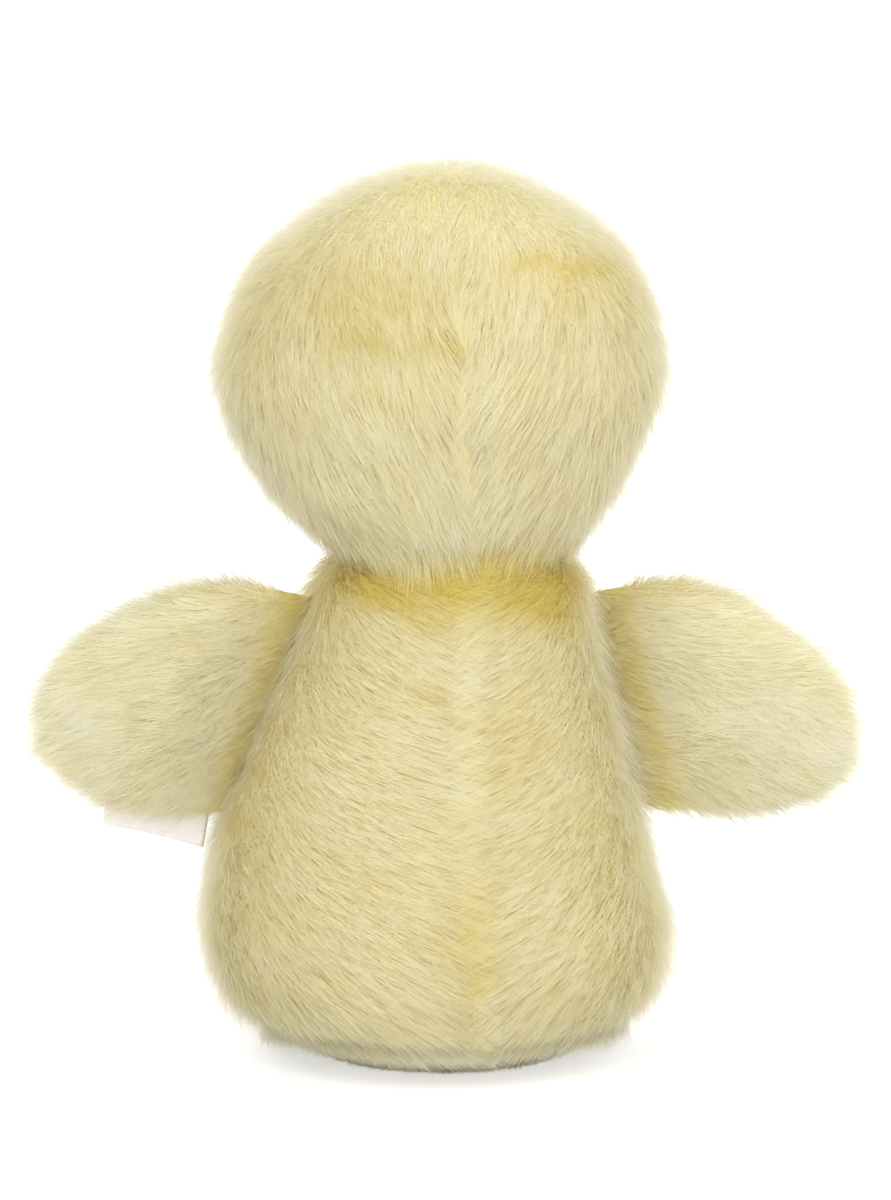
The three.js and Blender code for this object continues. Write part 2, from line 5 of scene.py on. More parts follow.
import bmesh
import bpy
import numpy as np
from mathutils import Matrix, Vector


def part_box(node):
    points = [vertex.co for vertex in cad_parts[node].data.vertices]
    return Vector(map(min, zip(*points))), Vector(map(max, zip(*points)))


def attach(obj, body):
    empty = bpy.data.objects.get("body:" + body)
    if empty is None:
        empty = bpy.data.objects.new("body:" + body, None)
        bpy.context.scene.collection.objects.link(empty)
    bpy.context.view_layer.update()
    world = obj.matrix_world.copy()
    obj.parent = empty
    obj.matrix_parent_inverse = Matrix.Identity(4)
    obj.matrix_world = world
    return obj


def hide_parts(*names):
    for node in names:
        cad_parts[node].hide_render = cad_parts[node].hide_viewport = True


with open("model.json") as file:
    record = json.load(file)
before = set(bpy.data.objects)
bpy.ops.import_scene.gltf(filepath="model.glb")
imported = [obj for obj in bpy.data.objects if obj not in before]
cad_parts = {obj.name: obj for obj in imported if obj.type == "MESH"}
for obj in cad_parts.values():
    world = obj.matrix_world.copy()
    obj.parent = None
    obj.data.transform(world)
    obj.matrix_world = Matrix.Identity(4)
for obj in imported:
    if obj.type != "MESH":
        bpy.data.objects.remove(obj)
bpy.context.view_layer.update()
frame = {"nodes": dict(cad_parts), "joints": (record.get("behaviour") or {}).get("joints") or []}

mm = 0.001
fullTurn = math.tau
nodes = frame["nodes"]
joints = {joint["name"]: joint for joint in frame["joints"]}


def feed(tree, socket, value):
    if isinstance(value, bpy.types.NodeSocket):
        tree.links.new(value, socket)
    elif isinstance(value, bpy.types.Node):
        tree.links.new(value.outputs[0], socket)
    elif socket.type == "RGBA" and hasattr(value, "__len__") and len(value) == 3:
        socket.default_value = (*value, 1)
    else:
        socket.default_value = value


def add(tree, kind, inputs=None, **settings):
    made = tree.nodes.new(kind)
    for key, value in settings.items():
        setattr(made, key, value)
    for key, value in (inputs or {}).items():
        feed(tree, made.inputs[key], value)
    return made


def calc(tree, operation, *values):
    return add(tree, "ShaderNodeMath", dict(enumerate(values)), operation=operation).outputs[0]


def turn(tree, operation, *values):
    made = add(tree, "ShaderNodeVectorMath", operation=operation)
    for k, value in enumerate(values):
        feed(tree, made.inputs["Scale" if operation == "SCALE" and k == 1 else k], value)
    return made.outputs["Value" if operation in ("DOT_PRODUCT", "LENGTH") else "Vector"]


def blend(tree, share, first, second):
    return add(tree, "ShaderNodeMix", {0: share, 6: first, 7: second}, data_type="RGBA").outputs[2]


def ranged(tree, value, low, high, start=0.0, end=1.0, kind="LINEAR"):
    inputs = {0: value, 1: low, 2: high, 3: start, 4: end}
    return add(tree, "ShaderNodeMapRange", inputs, interpolation_type=kind).outputs[0]


def srgb(red, green, blue):
    shares = (red / 255, green / 255, blue / 255)
    return tuple(c / 12.92 if c <= 0.04045 else ((c + 0.055) / 1.055) ** 2.4 for c in shares)


# A tree or a shader group, from its named inputs and outputs
def newTree(name, kind, inputs, outputs):
    tree = bpy.data.node_groups.new(name, kind)
    for sockets, way in ((inputs, "INPUT"), (outputs, "OUTPUT")):
        for label, socket in sockets.items():
            tree.interface.new_socket(label, in_out=way, socket_type=f"NodeSocket{socket}")
    return tree, tree.nodes.new("NodeGroupInput").outputs, tree.nodes.new("NodeGroupOutput").inputs


# Pile colour: deep at the root, as painted shade deep in the pile, pale at the tip, and each strand a little
# different
def pileColourGroup():
    colours = dict.fromkeys(("Deep root", "Pale root", "Deep tip", "Pale tip"), "Color")
    inputs = {"Shade": "Float", "Along": "Float"} | colours
    tree, given, made = newTree("pile_colour", "ShaderNodeTree", inputs, {"Colour": "Color"})
    root = blend(tree, given["Shade"], given["Deep root"], given["Pale root"])
    tip = blend(tree, given["Shade"], given["Deep tip"], given["Pale tip"])
    along = ranged(tree, given["Along"], 0.05, 0.85, kind="SMOOTHSTEP")
    feed(tree, made["Colour"], blend(tree, along, root, tip))
    return tree


# Cloth: two colours in soft patches, with a fine matted height for the bump
def mattedGroup():
    inputs = {"First": "Color", "Second": "Color", "Patch size": "Float", "Fibre size": "Float"}
    outputs = {"Colour": "Color", "Height": "Float"}
    tree, given, made = newTree("matted_cloth", "ShaderNodeTree", inputs, outputs)
    place = add(tree, "ShaderNodeTexCoord").outputs["Object"]
    patches = {"Vector": place, "Scale": given["Patch size"], "Detail": 3.0, "Roughness": 0.6}
    fibres = {"Vector": place, "Scale": given["Fibre size"], "Detail": 4.0}
    fibres |= {"Roughness": 0.7, "Distortion": 1.2}
    patch = add(tree, "ShaderNodeTexNoise", patches).outputs[0]
    fibre = add(tree, "ShaderNodeTexNoise", fibres).outputs[0]
    cells = add(tree, "ShaderNodeTexVoronoi", {"Vector": place, "Scale": given["Fibre size"]}).outputs[0]
    broad = calc(tree, "MULTIPLY", ranged(tree, patch, 0.36, 0.64), 0.55)
    fine = calc(tree, "MULTIPLY", ranged(tree, fibre, 0.35, 0.65), 0.45)
    mask = calc(tree, "ADD", broad, fine)
    feed(tree, made["Colour"], blend(tree, mask, given["First"], given["Second"]))
    feed(tree, made["Height"], calc(tree, "ADD", fibre, calc(tree, "MULTIPLY", cells, 0.5)))
    return tree


pileColour = pileColourGroup()
mattedCloth = mattedGroup()


def newMaterial(name, roughness):
    material = bpy.data.materials.new(name)
    material.use_nodes = True
    shader = material.node_tree.nodes["Principled BSDF"]
    shader.inputs["Roughness"].default_value = roughness
    return material, material.node_tree, shader


def clothMaterial(name, colours, sizes, bump, distance, roughness):
    material, tree, shader = newMaterial(name, roughness)
    group = add(tree, "ShaderNodeGroup", node_tree=mattedCloth)
    values = [srgb(*colour) for colour in colours] + list(sizes)
    for key, value in zip(("First", "Second", "Patch size", "Fibre size"), values):
        feed(tree, group.inputs[key], value)
    inputs = {"Strength": bump, "Distance": distance, "Height": group.outputs["Height"]}
    feed(tree, shader.inputs["Base Color"], group.outputs["Colour"])
    feed(tree, shader.inputs["Normal"], add(tree, "ShaderNodeBump", inputs))
    return material


pileLook = {
    # The roots are deeper than the tips: painted shade deep in the pile
    "colours": {
        "Deep root": (230, 211, 102),
        "Pale root": (243, 238, 200),
        "Deep tip": (239, 225, 136),
        "Pale tip": (252, 250, 236),
    },
    "surface": {
        "Specular IOR Level": 0.18,
        "Sheen Weight": 0.7,
        "Sheen Roughness": 0.5,
        "Sheen Tint": (1, 0.98, 0.9, 1),
    },
    "rim": (255, 253, 243),
    "rimShare": 0.6,
    "translucent": 0.5,
    "lightPassed": 0.8,
}


def pileMaterial(name, look):
    material, tree, shader = newMaterial(name, 0.78)
    for key, value in look["surface"].items():
        shader.inputs[key].default_value = value
    place = add(tree, "ShaderNodeUVMap", uv_map="OFBake")
    parts = add(tree, "ShaderNodeSeparateXYZ", {0: place}).outputs
    group = add(tree, "ShaderNodeGroup", node_tree=pileColour)
    feed(tree, group.inputs["Shade"], parts[0])
    feed(tree, group.inputs["Along"], parts[1])
    for key, value in look["colours"].items():
        feed(tree, group.inputs[key], srgb(*value))
    # Light gathers in the pile where it is seen edge on, so it pales towards the outline
    edge = add(tree, "ShaderNodeLayerWeight", {0: 0.5}).outputs["Facing"]
    rim = ranged(tree, edge, 0.4, 1.0, 0.0, look["rimShare"], "SMOOTHSTEP")
    colour = blend(tree, rim, group.outputs[0], srgb(*look["rim"]))
    feed(tree, shader.inputs["Base Color"], colour)
    through = add(tree, "ShaderNodeBsdfTranslucent", {"Color": colour})
    both = add(tree, "ShaderNodeMixShader", {0: look["translucent"], 1: shader, 2: through})
    # Fine fibres let most of the light past, so their shadows are soft
    shadow = add(tree, "ShaderNodeLightPath").outputs["Is Shadow Ray"]
    passed = calc(tree, "MULTIPLY", shadow, look["lightPassed"])
    clear = add(tree, "ShaderNodeBsdfTransparent")
    soft = add(tree, "ShaderNodeMixShader", {0: passed, 1: both, 2: clear})
    feed(tree, tree.nodes["Material Output"].inputs[0], soft)
    return material


pile = pileMaterial("lemon_pile", pileLook)
# Two colours, the sizes of patches and fibres, the strength and depth of the bump, the roughness
cloths = {
    "lemon_backing": (((240, 227, 162), (248, 238, 186)), (120.0, 1400.0), 0.5, 0.0004, 0.95),
    "orange_felt": (((214, 104, 24), (240, 138, 44)), (160.0, 1500.0), 0.65, 0.0005, 0.92),
    "orange_thread": (((188, 82, 14), (222, 112, 28)), (400.0, 4000.0), 0.4, 0.0002, 0.7),
    "white_fibre": (((235, 232, 224), (250, 249, 245)), (90.0, 700.0), 0.8, 0.0012, 1.0),
    "pellet_calico": (((219, 208, 184), (240, 231, 212)), (150.0, 1700.0), 0.5, 0.0003, 0.95),
    "label_satin": (((226, 219, 214), (243, 239, 238)), (60.0, 900.0), 0.12, 0.0001, 0.42),
    "washer_plastic": (((222, 220, 214), (236, 234, 229)), (200.0, 1600.0), 0.08, 0.0001, 0.5),
}
woven = [clothMaterial(name, *values) for name, values in cloths.items()]
backing, felt, feltThread, fibre, calico, satin, plastic = woven
print("materials made")


def placed(name, data):
    made = bpy.data.objects.new(name, data)
    bpy.context.scene.collection.objects.link(made)
    return made


def meshObject(name, points, faces, material):
    mesh = bpy.data.meshes.new(name)
    mesh.from_pydata([tuple(p) for p in points], [], faces)
    mesh.materials.append(material)
    mesh.shade_smooth()
    return placed(name, mesh)


# Keeps one value for each point of a mesh
def keepOn(made, key, value, kind="FLOAT_VECTOR"):
    attribute = made.data.attributes.new(key, kind, "POINT")
    field = "vector" if kind == "FLOAT_VECTOR" else "value"
    attribute.data.foreach_set(field, np.ascontiguousarray(value, np.float32).ravel())


# Runs a tree on a source mesh and gives the result as a plain mesh. The source goes.
def grownFrom(source, nodeTree, values, name):
    modifier = source.modifiers.new(nodeTree.name, "NODES")
    modifier.node_group = nodeTree
    for item in nodeTree.interface.items_tree:
        if item.in_out == "INPUT" and item.name in values:
            modifier[item.identifier] = values[item.name]
    bpy.context.view_layer.update()
    mesh = bpy.data.meshes.new_from_object(source.evaluated_get(bpy.context.evaluated_depsgraph_get()))
    bpy.data.objects.remove(source)
    mesh.name = name
    mesh.shade_smooth()
    return mesh


# Quads between rings of points, each ring closed on itself
def ringFaces(rings, sides):
    return [
        (i * sides + j, i * sides + (j + 1) % sides, (i + 1) * sides + (j + 1) % sides, (i + 1) * sides + j)
        for i in range(rings - 1)
        for j in range(sides)
    ]


# How far along a line each of its points lies
def runOf(line):
    return np.r_[0, np.cumsum(np.linalg.norm(np.diff(line, axis=0), axis=1))]


def tidyMesh(made, distance=1e-6):
    work = bmesh.new()
    work.from_mesh(made.data)
    bmesh.ops.remove_doubles(work, verts=work.verts, dist=distance)
    bmesh.ops.recalc_face_normals(work, faces=work.faces)
    work.to_mesh(made.data)
    work.free()
    made.data.shade_smooth()


def smoothShare(value):
    value = np.clip(value, 0, 1)
    return value * value * (3 - 2 * value)


def unit(vectors):
    return vectors / np.maximum(np.linalg.norm(vectors, axis=-1, keepdims=True), 1e-9)


# A soft wave through space, from -1 to 1, the same on every run
def wave(points, size, seed):
    source = np.random.default_rng(seed)
    total = np.zeros(points.shape[:-1])
    for _ in range(7):
        direction = unit(source.normal(size=3))
        stretch = size * source.uniform(0.7, 1.4)
        total += np.sin(points @ direction * fullTurn / stretch + source.uniform(0, fullTurn))
    return total / 3.2


# Forms are profiles of half width, half depth and height, run round Z, all in millimetres
def smoothLine(points, samples=600):
    points = np.array(points, float)
    chord = runOf(points)
    slope = np.gradient(points, chord, axis=0)
    t = np.linspace(0, chord[-1], samples)
    i = np.clip(np.searchsorted(chord, t, side="right") - 1, 0, len(points) - 2)
    gap = (chord[i + 1] - chord[i])[:, None]
    x = (t - chord[i])[:, None] / gap
    here = (2 * x**3 - 3 * x**2 + 1) * points[i] + (x**3 - 2 * x**2 + x) * gap * slope[i]
    return here + (3 * x**2 - 2 * x**3) * points[i + 1] + (x**3 - x**2) * gap * slope[i + 1]


def makeForm(points, lean, low, high):
    line = smoothLine(points)
    flat = np.c_[(line[:, 0] + line[:, 1]) / 2, line[:, 2]]
    along = runOf(flat)
    step = unit(np.gradient(flat, axis=0))
    out = np.c_[step[:, 1], -step[:, 0]]
    return {"line": line, "out": out, "along": along / along[-1], "lean": lean, "low": low, "high": high}


# Height and how far the soft forms sway to the left there
sway = (
    [10, 25, 45, 62, 85, 108, 132, 146, 160, 175, 190, 210, 225],
    [0.4, 1.6, 3.4, 4.0, 2.4, 0.2, -2.2, -2.0, 0.4, 1.6, 1.2, 0.3, 0],
)


def onForm(form, angle, share, depth):
    wide, deep, height = (np.interp(share, form["along"], form["line"][:, k]) for k in range(3))
    outward, upward = (np.interp(share, form["along"], form["out"][:, k]) for k in range(2))
    height = np.maximum(height - depth * upward, 0.4)
    share = np.clip((height - form["low"]) / (form["high"] - form["low"]), 0, 1)
    lean = form["lean"] * np.sin(math.pi * share)
    aside = np.interp(height, *sway)
    wide = np.maximum(wide - depth * outward, 0)
    deep = np.maximum(deep - depth * outward, 0)
    return np.stack([wide * np.cos(angle) + aside, deep * np.sin(angle) - lean, height], -1)


def shareAt(form, height):
    return float(np.interp(height, form["line"][:, 2], form["along"]))


body = {
    "width": 131,
    "depth": 115,
    "neck": 142,
    "drift": 10,
    "profile": [
        (0.014, 0.645, 0.64), (0.035, 0.738, 0.735), (0.063, 0.823, 0.82), (0.099, 0.893, 0.89),
        (0.141, 0.948, 0.945), (0.19, 0.986, 0.985), (0.246, 1, 1), (0.36, 0.972, 0.98),
        (0.457, 0.925, 0.935), (0.56, 0.862, 0.875), (0.66, 0.793, 0.81), (0.76, 0.716, 0.74),
        (0.85, 0.655, 0.69), (0.92, 0.612, 0.65),
    ],
}
head = {
    "width": 126,
    "depth": 114,
    "height": 108,
    "crown": 208,
    "drift": 5,
    "eyes": [(28, -49, 198), (-28, -49, 198)],
    "profile": [
        (0.04, 0.64), (0.09, 0.715), (0.19, 0.84), (0.31, 0.935), (0.45, 1), (0.56, 0.975), (0.66, 0.913),
        (0.76, 0.805), (0.86, 0.625), (0.945, 0.38), (0.99, 0.14),
    ],
}
bodyForm = makeForm(
    [(37, 32, 0)]
    + [(w * body["width"] / 2, d * body["depth"] / 2, h * body["neck"]) for h, w, d in body["profile"]]
    + [(36, 36, body["neck"])],
    5, 0, body["neck"],
)
headForm = makeForm(
    [(37.1, 37.1, body["neck"])]
    + [
        (s * head["width"] / 2, s * head["depth"] / 2, body["neck"] + h * head["height"])
        for h, s in head["profile"]
    ]
    + [(0, 0, body["neck"] + head["height"])],
    4, body["neck"], body["neck"] + head["height"],
)
baseProfile = [
    (0, 0, 0.4), (14, 12.2, 0.4), (28, 24.4, 0.4), (35, 30.4, 0.4),
    (39, 34, 0.9), (42.2, 36.8, 2), (48.3, 42.3, 5), (53.9, 47.1, 9),
]
baseForm = makeForm(baseProfile, 0, 0, body["neck"])


# The back seam wanders to one side as it goes down
def seamAngle(form, drift, share, top):
    wide = np.interp(share, form["along"], form["line"][:, 0])
    return math.pi / 2 + np.arcsin(np.clip(drift / np.maximum(wide, 20), -1, 1)) * (1 - share / top)


def gridFaces(rows, columns, start, flip):
    faces = []
    for i in range(rows - 1):
        for j in range(columns - 1):
            a = start + i * columns + j
            quad = (a, a + 1, a + columns + 1, a + columns)
            faces.append(quad[::-1] if flip else quad)
    return faces


# How far each grid point is from the nearest of the named edges
def fromEdges(grid, edges):
    far = np.full(grid.shape[:2], 1e3)
    for axis, low, high in ((1, "start", "end"), (0, "low", "high")):
        steps = np.linalg.norm(np.diff(grid, axis=axis), axis=-1)
        run = np.cumsum(steps, axis=axis)
        pad = [(0, 0), (0, 0)]
        pad[axis] = (1, 0)
        run = np.pad(run, pad)
        total = np.take(run, [-1], axis=axis)
        if low in edges:
            far = np.minimum(far, run)
        if high in edges:
            far = np.minimum(far, total - run)
    return far


# Skin panels are closed cloth shells that turn in at their seams, and pile stands on them
def panel(name, placer, columns, rows, edges, wrap=False, depth=5.4, dip=1.7, cloth=1.5):
    u, v = np.meshgrid(np.linspace(0, 1, columns), np.linspace(0, 1, rows))
    flat = placer(u, v, depth)
    far = fromEdges(flat, edges)
    sunk = depth + dip * np.exp(-((far / 2.4) ** 2))
    if "high" in edges and not wrap:
        sunk = np.minimum(sunk, depth + dip * np.clip(fromEdges(flat, ("high",)) / 3, 0.2, 1))
    outer = placer(u, v, sunk)
    inner = placer(u, v, np.minimum(sunk + cloth, 8.6))
    count = rows * columns
    faces = gridFaces(rows, columns, 0, False) + gridFaces(rows, columns, count, True)
    border = [(0, j, 0, j + 1) for j in range(columns - 1)]
    border += [(rows - 1, j + 1, rows - 1, j) for j in range(columns - 1)]
    if not wrap:
        border += [(i + 1, 0, i, 0) for i in range(rows - 1)]
        border += [(i, columns - 1, i + 1, columns - 1) for i in range(rows - 1)]
    for i, j, k, m in border:
        a, b = i * columns + j, k * columns + m
        faces.append((b, a, a + count, b + count))
    points = np.concatenate([outer.reshape(-1, 3), inner.reshape(-1, 3)]) * mm
    made = meshObject(name, points, faces, backing)
    tidyMesh(made)
    return made, outer, placer(u, v, np.full(u.shape, depth * 0.4))


def emitter(name, outer, smooth, look, wrapped, lay=1.0):
    along = np.gradient(smooth, axis=1)
    up = np.gradient(smooth, axis=0)
    if wrapped:
        along[:, 0] = along[:, -1] = smooth[:, 1] - smooth[:, -2]
    normal = np.cross(along, up)
    length = np.linalg.norm(normal, axis=-1, keepdims=True)
    guess = unit(outer - look["centre"](outer))
    normal = np.where(length > 1e-5, normal / np.maximum(length, 1e-9), guess)
    normal *= np.sign(np.sum(normal * guess, -1, keepdims=True))
    # Low down the pile stands out sideways, over the floor
    low = (smoothShare((18 - outer[..., 2]) / 12) * (normal[..., 2] < 0))[..., None]
    sideways = unit(outer * np.array([1, 1, 0]) + np.array([0, 1e-3, 0]))
    normal = unit(normal * (1 - low) + sideways * low)
    rows, columns = outer.shape[:2]
    made = meshObject(name, outer.reshape(-1, 3) * mm, gridFaces(rows, columns, 0, False), pile)
    nap = look["nap"](outer, normal)
    nap = unit(nap - normal * np.sum(nap * normal, -1, keepdims=True))
    nap *= np.clip((outer[..., 2:] - 1) / 14, 0.12, 1) * lay
    keepOn(made, "out", normal)
    keepOn(made, "nap", nap)
    keepOn(made, "reach", look["reach"](outer), "FLOAT")
    keepOn(made, "shade", look["shade"](outer), "FLOAT")
    return made


# One strand is a flat strip that narrows to a point. The tree shapes it from its places along and across.
def strandObject():
    made = meshObject("strand", [(0, 0, 0)] * 5, [(0, 2, 3, 1), (2, 4, 3)], pile)
    keepOn(made, "along", [0, 0, 0.5, 0.5, 1], "FLOAT")
    keepOn(made, "across", [-1, 1, -1, 1, 0], "FLOAT")
    made.hide_render = made.hide_viewport = True
    return made


# How a strand stands, bends and differs from the next. Shares are of its own length.
strandLook = {
    "long": (0.5, 1.28),
    "lift": 0.76,
    "clumpLift": 0.1,
    "strandLift": 0.3,
    "lying": (0.48, 0.46),
    "bend": 0.25,
    "roll": 0.55,
    "taper": 0.55,
    "tint": 0.06,
    "clumpTint": 0.025,
    "floor": (-9.0, -9.0, 0.0003),
}


def pileTree():
    floats = dict.fromkeys(("Density", "Clump density", "Length", "Width", "Pull", "Unruly"), "Float")
    inputs = {"Geometry": "Geometry", "Strand": "Object", "Material": "Material"} | floats | {"Seed": "Int"}
    tree, given, made = newTree("pile", "GeometryNodeTree", inputs, {"Geometry": "Geometry"})
    whole, third = "FLOAT", "FLOAT_VECTOR"

    def attribute(name, kind=whole):
        return add(tree, "GeometryNodeInputNamedAttribute", {"Name": name}, data_type=kind).outputs[0]

    def times(first, second):
        return calc(tree, "MULTIPLY", first, second)

    def plus(first, second):
        return calc(tree, "ADD", first, second)

    def scaled(vector, by):
        return turn(tree, "SCALE", vector, by)

    def joined(first, second):
        return turn(tree, "ADD", first, second)

    def chance(low, high, identity, shift):
        inputs = {2: low, 3: high, "ID": identity, "Seed": plus(given["Seed"], float(shift))}
        return add(tree, "FunctionNodeRandomValue", inputs, data_type=whole).outputs[1]

    def anyWay(identity, shift):
        inputs = {0: (-1, -1, -1), 1: (1, 1, 1), "ID": identity, "Seed": plus(given["Seed"], float(shift))}
        return add(tree, "FunctionNodeRandomValue", inputs, data_type=third).outputs[0]

    def keep(geometry, name, kind, value, domain="POINT"):
        stored = add(tree, "GeometryNodeStoreNamedAttribute", data_type=kind, domain=domain)
        for key, held in (("Geometry", geometry), ("Name", name), ("Value", value)):
            feed(tree, stored.inputs[key], held)
        return stored.outputs[0]

    def scattered(density, seed):
        inputs = {"Mesh": given["Geometry"], "Density": given[density], "Seed": seed}
        return add(tree, "GeometryNodeDistributePointsOnFaces", inputs).outputs[0]

    look = strandLook
    roots = scattered("Density", given["Seed"])
    clumps = scattered("Clump density", plus(given["Seed"], 7.0))
    place = add(tree, "GeometryNodeInputPosition").outputs[0]
    index = add(tree, "GeometryNodeInputIndex").outputs[0]
    inputs = {"Geometry": clumps, "Sample Position": place}
    nearest = add(tree, "GeometryNodeSampleNearest", inputs, domain="POINT").outputs[0]
    middle = add(tree, "GeometryNodeSampleIndex", data_type=third, domain="POINT")
    for key, value in (("Geometry", clumps), ("Value", place), ("Index", nearest)):
        feed(tree, middle.inputs[key], value)
    toClump = turn(tree, "SUBTRACT", middle.outputs[0], place)
    out, nap = attribute("out", third), attribute("nap", third)
    long = times(times(attribute("reach"), given["Length"]), chance(*look["long"], index, 6))
    unruly = scaled(joined(scaled(anyWay(nearest, 1), 0.5), anyWay(index, 3)), given["Unruly"])
    lying = joined(nap, unruly)
    clumpLift = times(chance(-0.5, 0.5, nearest, 2), look["clumpLift"])
    strandLift = times(chance(-0.5, 0.5, index, 5), look["strandLift"])
    lift = plus(plus(clumpLift, strandLift), look["lift"])
    first = scaled(joined(scaled(out, lift), scaled(lying, look["lying"][0])), long)
    second = scaled(turn(tree, "SUBTRACT", scaled(lying, look["lying"][1]), scaled(out, look["bend"])), long)
    second = joined(second, scaled(toClump, given["Pull"]))
    side = joined(turn(tree, "CROSS_PRODUCT", out, nap), scaled(anyWay(index, 4), look["roll"]))
    side = scaled(turn(tree, "NORMALIZE", side), times(given["Width"], 0.5))
    tint = chance(-look["tint"], look["tint"], index, 8)
    clumpTint = chance(-look["clumpTint"], look["clumpTint"], nearest, 9)
    for name, value in (("first", first), ("second", second), ("side", side)):
        roots = keep(roots, name, third, value)
    roots = keep(roots, "tone", whole, plus(attribute("shade"), plus(tint, clumpTint)))
    strand = add(tree, "GeometryNodeObjectInfo", {"Object": given["Strand"]}).outputs["Geometry"]
    copies = add(tree, "GeometryNodeInstanceOnPoints", {"Points": roots, "Instance": strand})
    real = add(tree, "GeometryNodeRealizeInstances", {"Geometry": copies})
    along, across = attribute("along"), attribute("across")
    narrow = times(across, calc(tree, "SUBTRACT", 1.0, times(along, look["taper"])))
    bent = scaled(attribute("first", third), along)
    bent = joined(bent, scaled(attribute("second", third), times(along, along)))
    bent = joined(bent, scaled(attribute("side", third), narrow))
    moved = turn(tree, "MAXIMUM", joined(place, bent), look["floor"])
    shaped = add(tree, "GeometryNodeSetPosition", {"Geometry": real, "Position": moved})
    # The map holds the tone from left to right and the way up the strand from below
    tone = add(tree, "ShaderNodeClamp", {0: attribute("tone"), 1: 0.03, 2: 0.97})
    spot = {0: plus(tone, times(across, 0.012)), 1: plus(times(along, 0.96), 0.02)}
    mapped = keep(shaped, "OFBake", "FLOAT2", add(tree, "ShaderNodeCombineXYZ", spot), "CORNER")
    coloured = {"Geometry": mapped, "Material": given["Material"]}
    feed(tree, made[0], add(tree, "GeometryNodeSetMaterial", coloured))
    return tree


strand = strandObject()
pileNodes = pileTree()
thin = 1.0
furCount = 0
keptForPile = ("out", "nap", "reach", "shade", "first", "second", "side", "tone", "along", "across")


# Lengths in millimetres, densities in strands and clumps to the square millimetre
def growPile(name, source, parent, seed, long=9.5, density=5.6, pull=0.08, unruly=0.15, wide=0.175, clump=0.3):
    global furCount
    values = {
        "Strand": strand,
        "Material": pile,
        "Density": density * 1e6 * thin,
        "Clump density": clump * 1e6,
        "Length": long * mm,
        "Width": wide * mm / math.sqrt(thin),
        "Pull": pull,
        "Unruly": unruly,
        "Seed": seed,
    }
    mesh = grownFrom(source, pileNodes, values, name)
    count = len(mesh.vertices)
    out = np.zeros(count * 3, np.float32)
    mesh.attributes["out"].data.foreach_get("vector", out)
    for attribute in keptForPile:
        if attribute in mesh.attributes:
            mesh.attributes.remove(mesh.attributes[attribute])
    mesh.normals_split_custom_set_from_vertices(out.reshape(-1, 3))
    made = placed(name, mesh)
    made.parent = parent
    furCount += count // 5
    return made


# Which way the pile lies, from a point and the way out of the surface
def seamAt(points, drift, low, high):
    return np.interp(points[..., 2], *sway) - drift * np.clip(1 - (points[..., 2] - low) / (high - low), 0, 1)


def downAndAway(downward, away, low, high, seam, rise=0.0):
    def nap(points, normal):
        around = unit(np.stack([-points[..., 1], points[..., 0], np.zeros(points.shape[:-1])], -1))
        upward = np.cross(normal, around)
        parting = 3 + 30 * smoothShare(-points[..., 1] / 10)
        side = -np.tanh((points[..., 0] - seamAt(points, *seam)) / parting)
        back = np.clip((points[..., 1] + 16) / 30, -0.35, 1)
        share = np.clip((points[..., 2] - low) / (high - low), 0, 1)
        fan = np.maximum(np.sin(math.pi * np.clip(share * 0.8 + 0.15, 0, 1)), 0.45)
        sideways = away * side * back * fan
        swirl = 0.28 * wave(points, 34, 5)
        fall = downward[0] * (1 - share) + downward[1] * share - rise * smoothShare((share - 0.86) / 0.12)
        fall = fall * np.clip((points[..., 2] + 12) / 30, 0.4, 1)
        return -upward * fall[..., None] + around * (-sideways + swirl)[..., None]

    return nap


# Soft creases at the back, where the pile is dented and its colour darkened as painted shade: both ends as (x,
# z), the width and the strength
creases = [
    ((-18, 225), (-36, 221), 1.9, 0.8),
    ((29, 205.5), (2, 205.5), 2.4, 0.6),
    ((29, 193.5), (18, 193.5), 1.8, 0.5),
    ((22, 131), (8, 127), 2, 0.6),
    ((14, 109), (1, 100), 2, 0.45),
    ((-4, 8), (-33, 12), 1.8, 0.6),
    ((37, 7), (14, 1), 1.8, 0.5),
    ((37.5, 130), (60, 64), 2.6, 0.9),
    ((-43.8, 130), (-58, 68), 2.6, 0.9),
]
# Deeper yellow patches at the back: the middle as (x, z), the half sizes and the strength
patches = [
    ((0, 44), (13, 20), 0.3),
    ((-9, 40), (3.5, 16), 0.45),
    ((22, 214), (16, 9), 0.3),
    ((10, 190), (9, 12), 0.15),
    ((-16, 96), (10, 14), 0.14),
]


def creased(points):
    x, z = points[..., 0], points[..., 2]
    made = np.zeros(x.shape)
    for (xa, za), (xb, zb), width, strength in creases:
        run = math.hypot(xb - xa, zb - za)
        along = ((x - xa) * (xb - xa) + (z - za) * (zb - za)) / run
        bow = 1.3 * np.sin(along * 0.42)
        aside = ((x - xa) * (za - zb) + (z - za) * (xb - xa)) / run + bow
        beyond = np.maximum(np.maximum(-along, along - run), 0)
        made = np.maximum(made, strength * np.exp(-((aside / width) ** 2) - (beyond / 4) ** 2))
    return made * smoothShare((points[..., 1] + 12) / 20)


def patched(points):
    made = np.zeros(points.shape[:-1])
    for (x, z), (wide, high), strength in patches:
        made += strength * np.exp(-(((points[..., 0] - x) / wide) ** 2) - ((points[..., 2] - z) / high) ** 2)
    return made * smoothShare((points[..., 1] + 5) / 20)


def bodyReach(points):
    low = np.clip((points[..., 2] + 8) / 31, 0.34, 1)
    made = low * (1 + 0.1 * wave(points, 22, 11)) * (1 + 0.12 * np.exp(-(((points[..., 2] - 38) / 25) ** 2)))
    parted = np.exp(-(((points[..., 0] - seamAt(points, *bodySeam)) / 1.6) ** 2)) * (points[..., 1] > 0)
    return made * (1 - 0.4 * creased(points)) * (1 - 0.25 * parted)


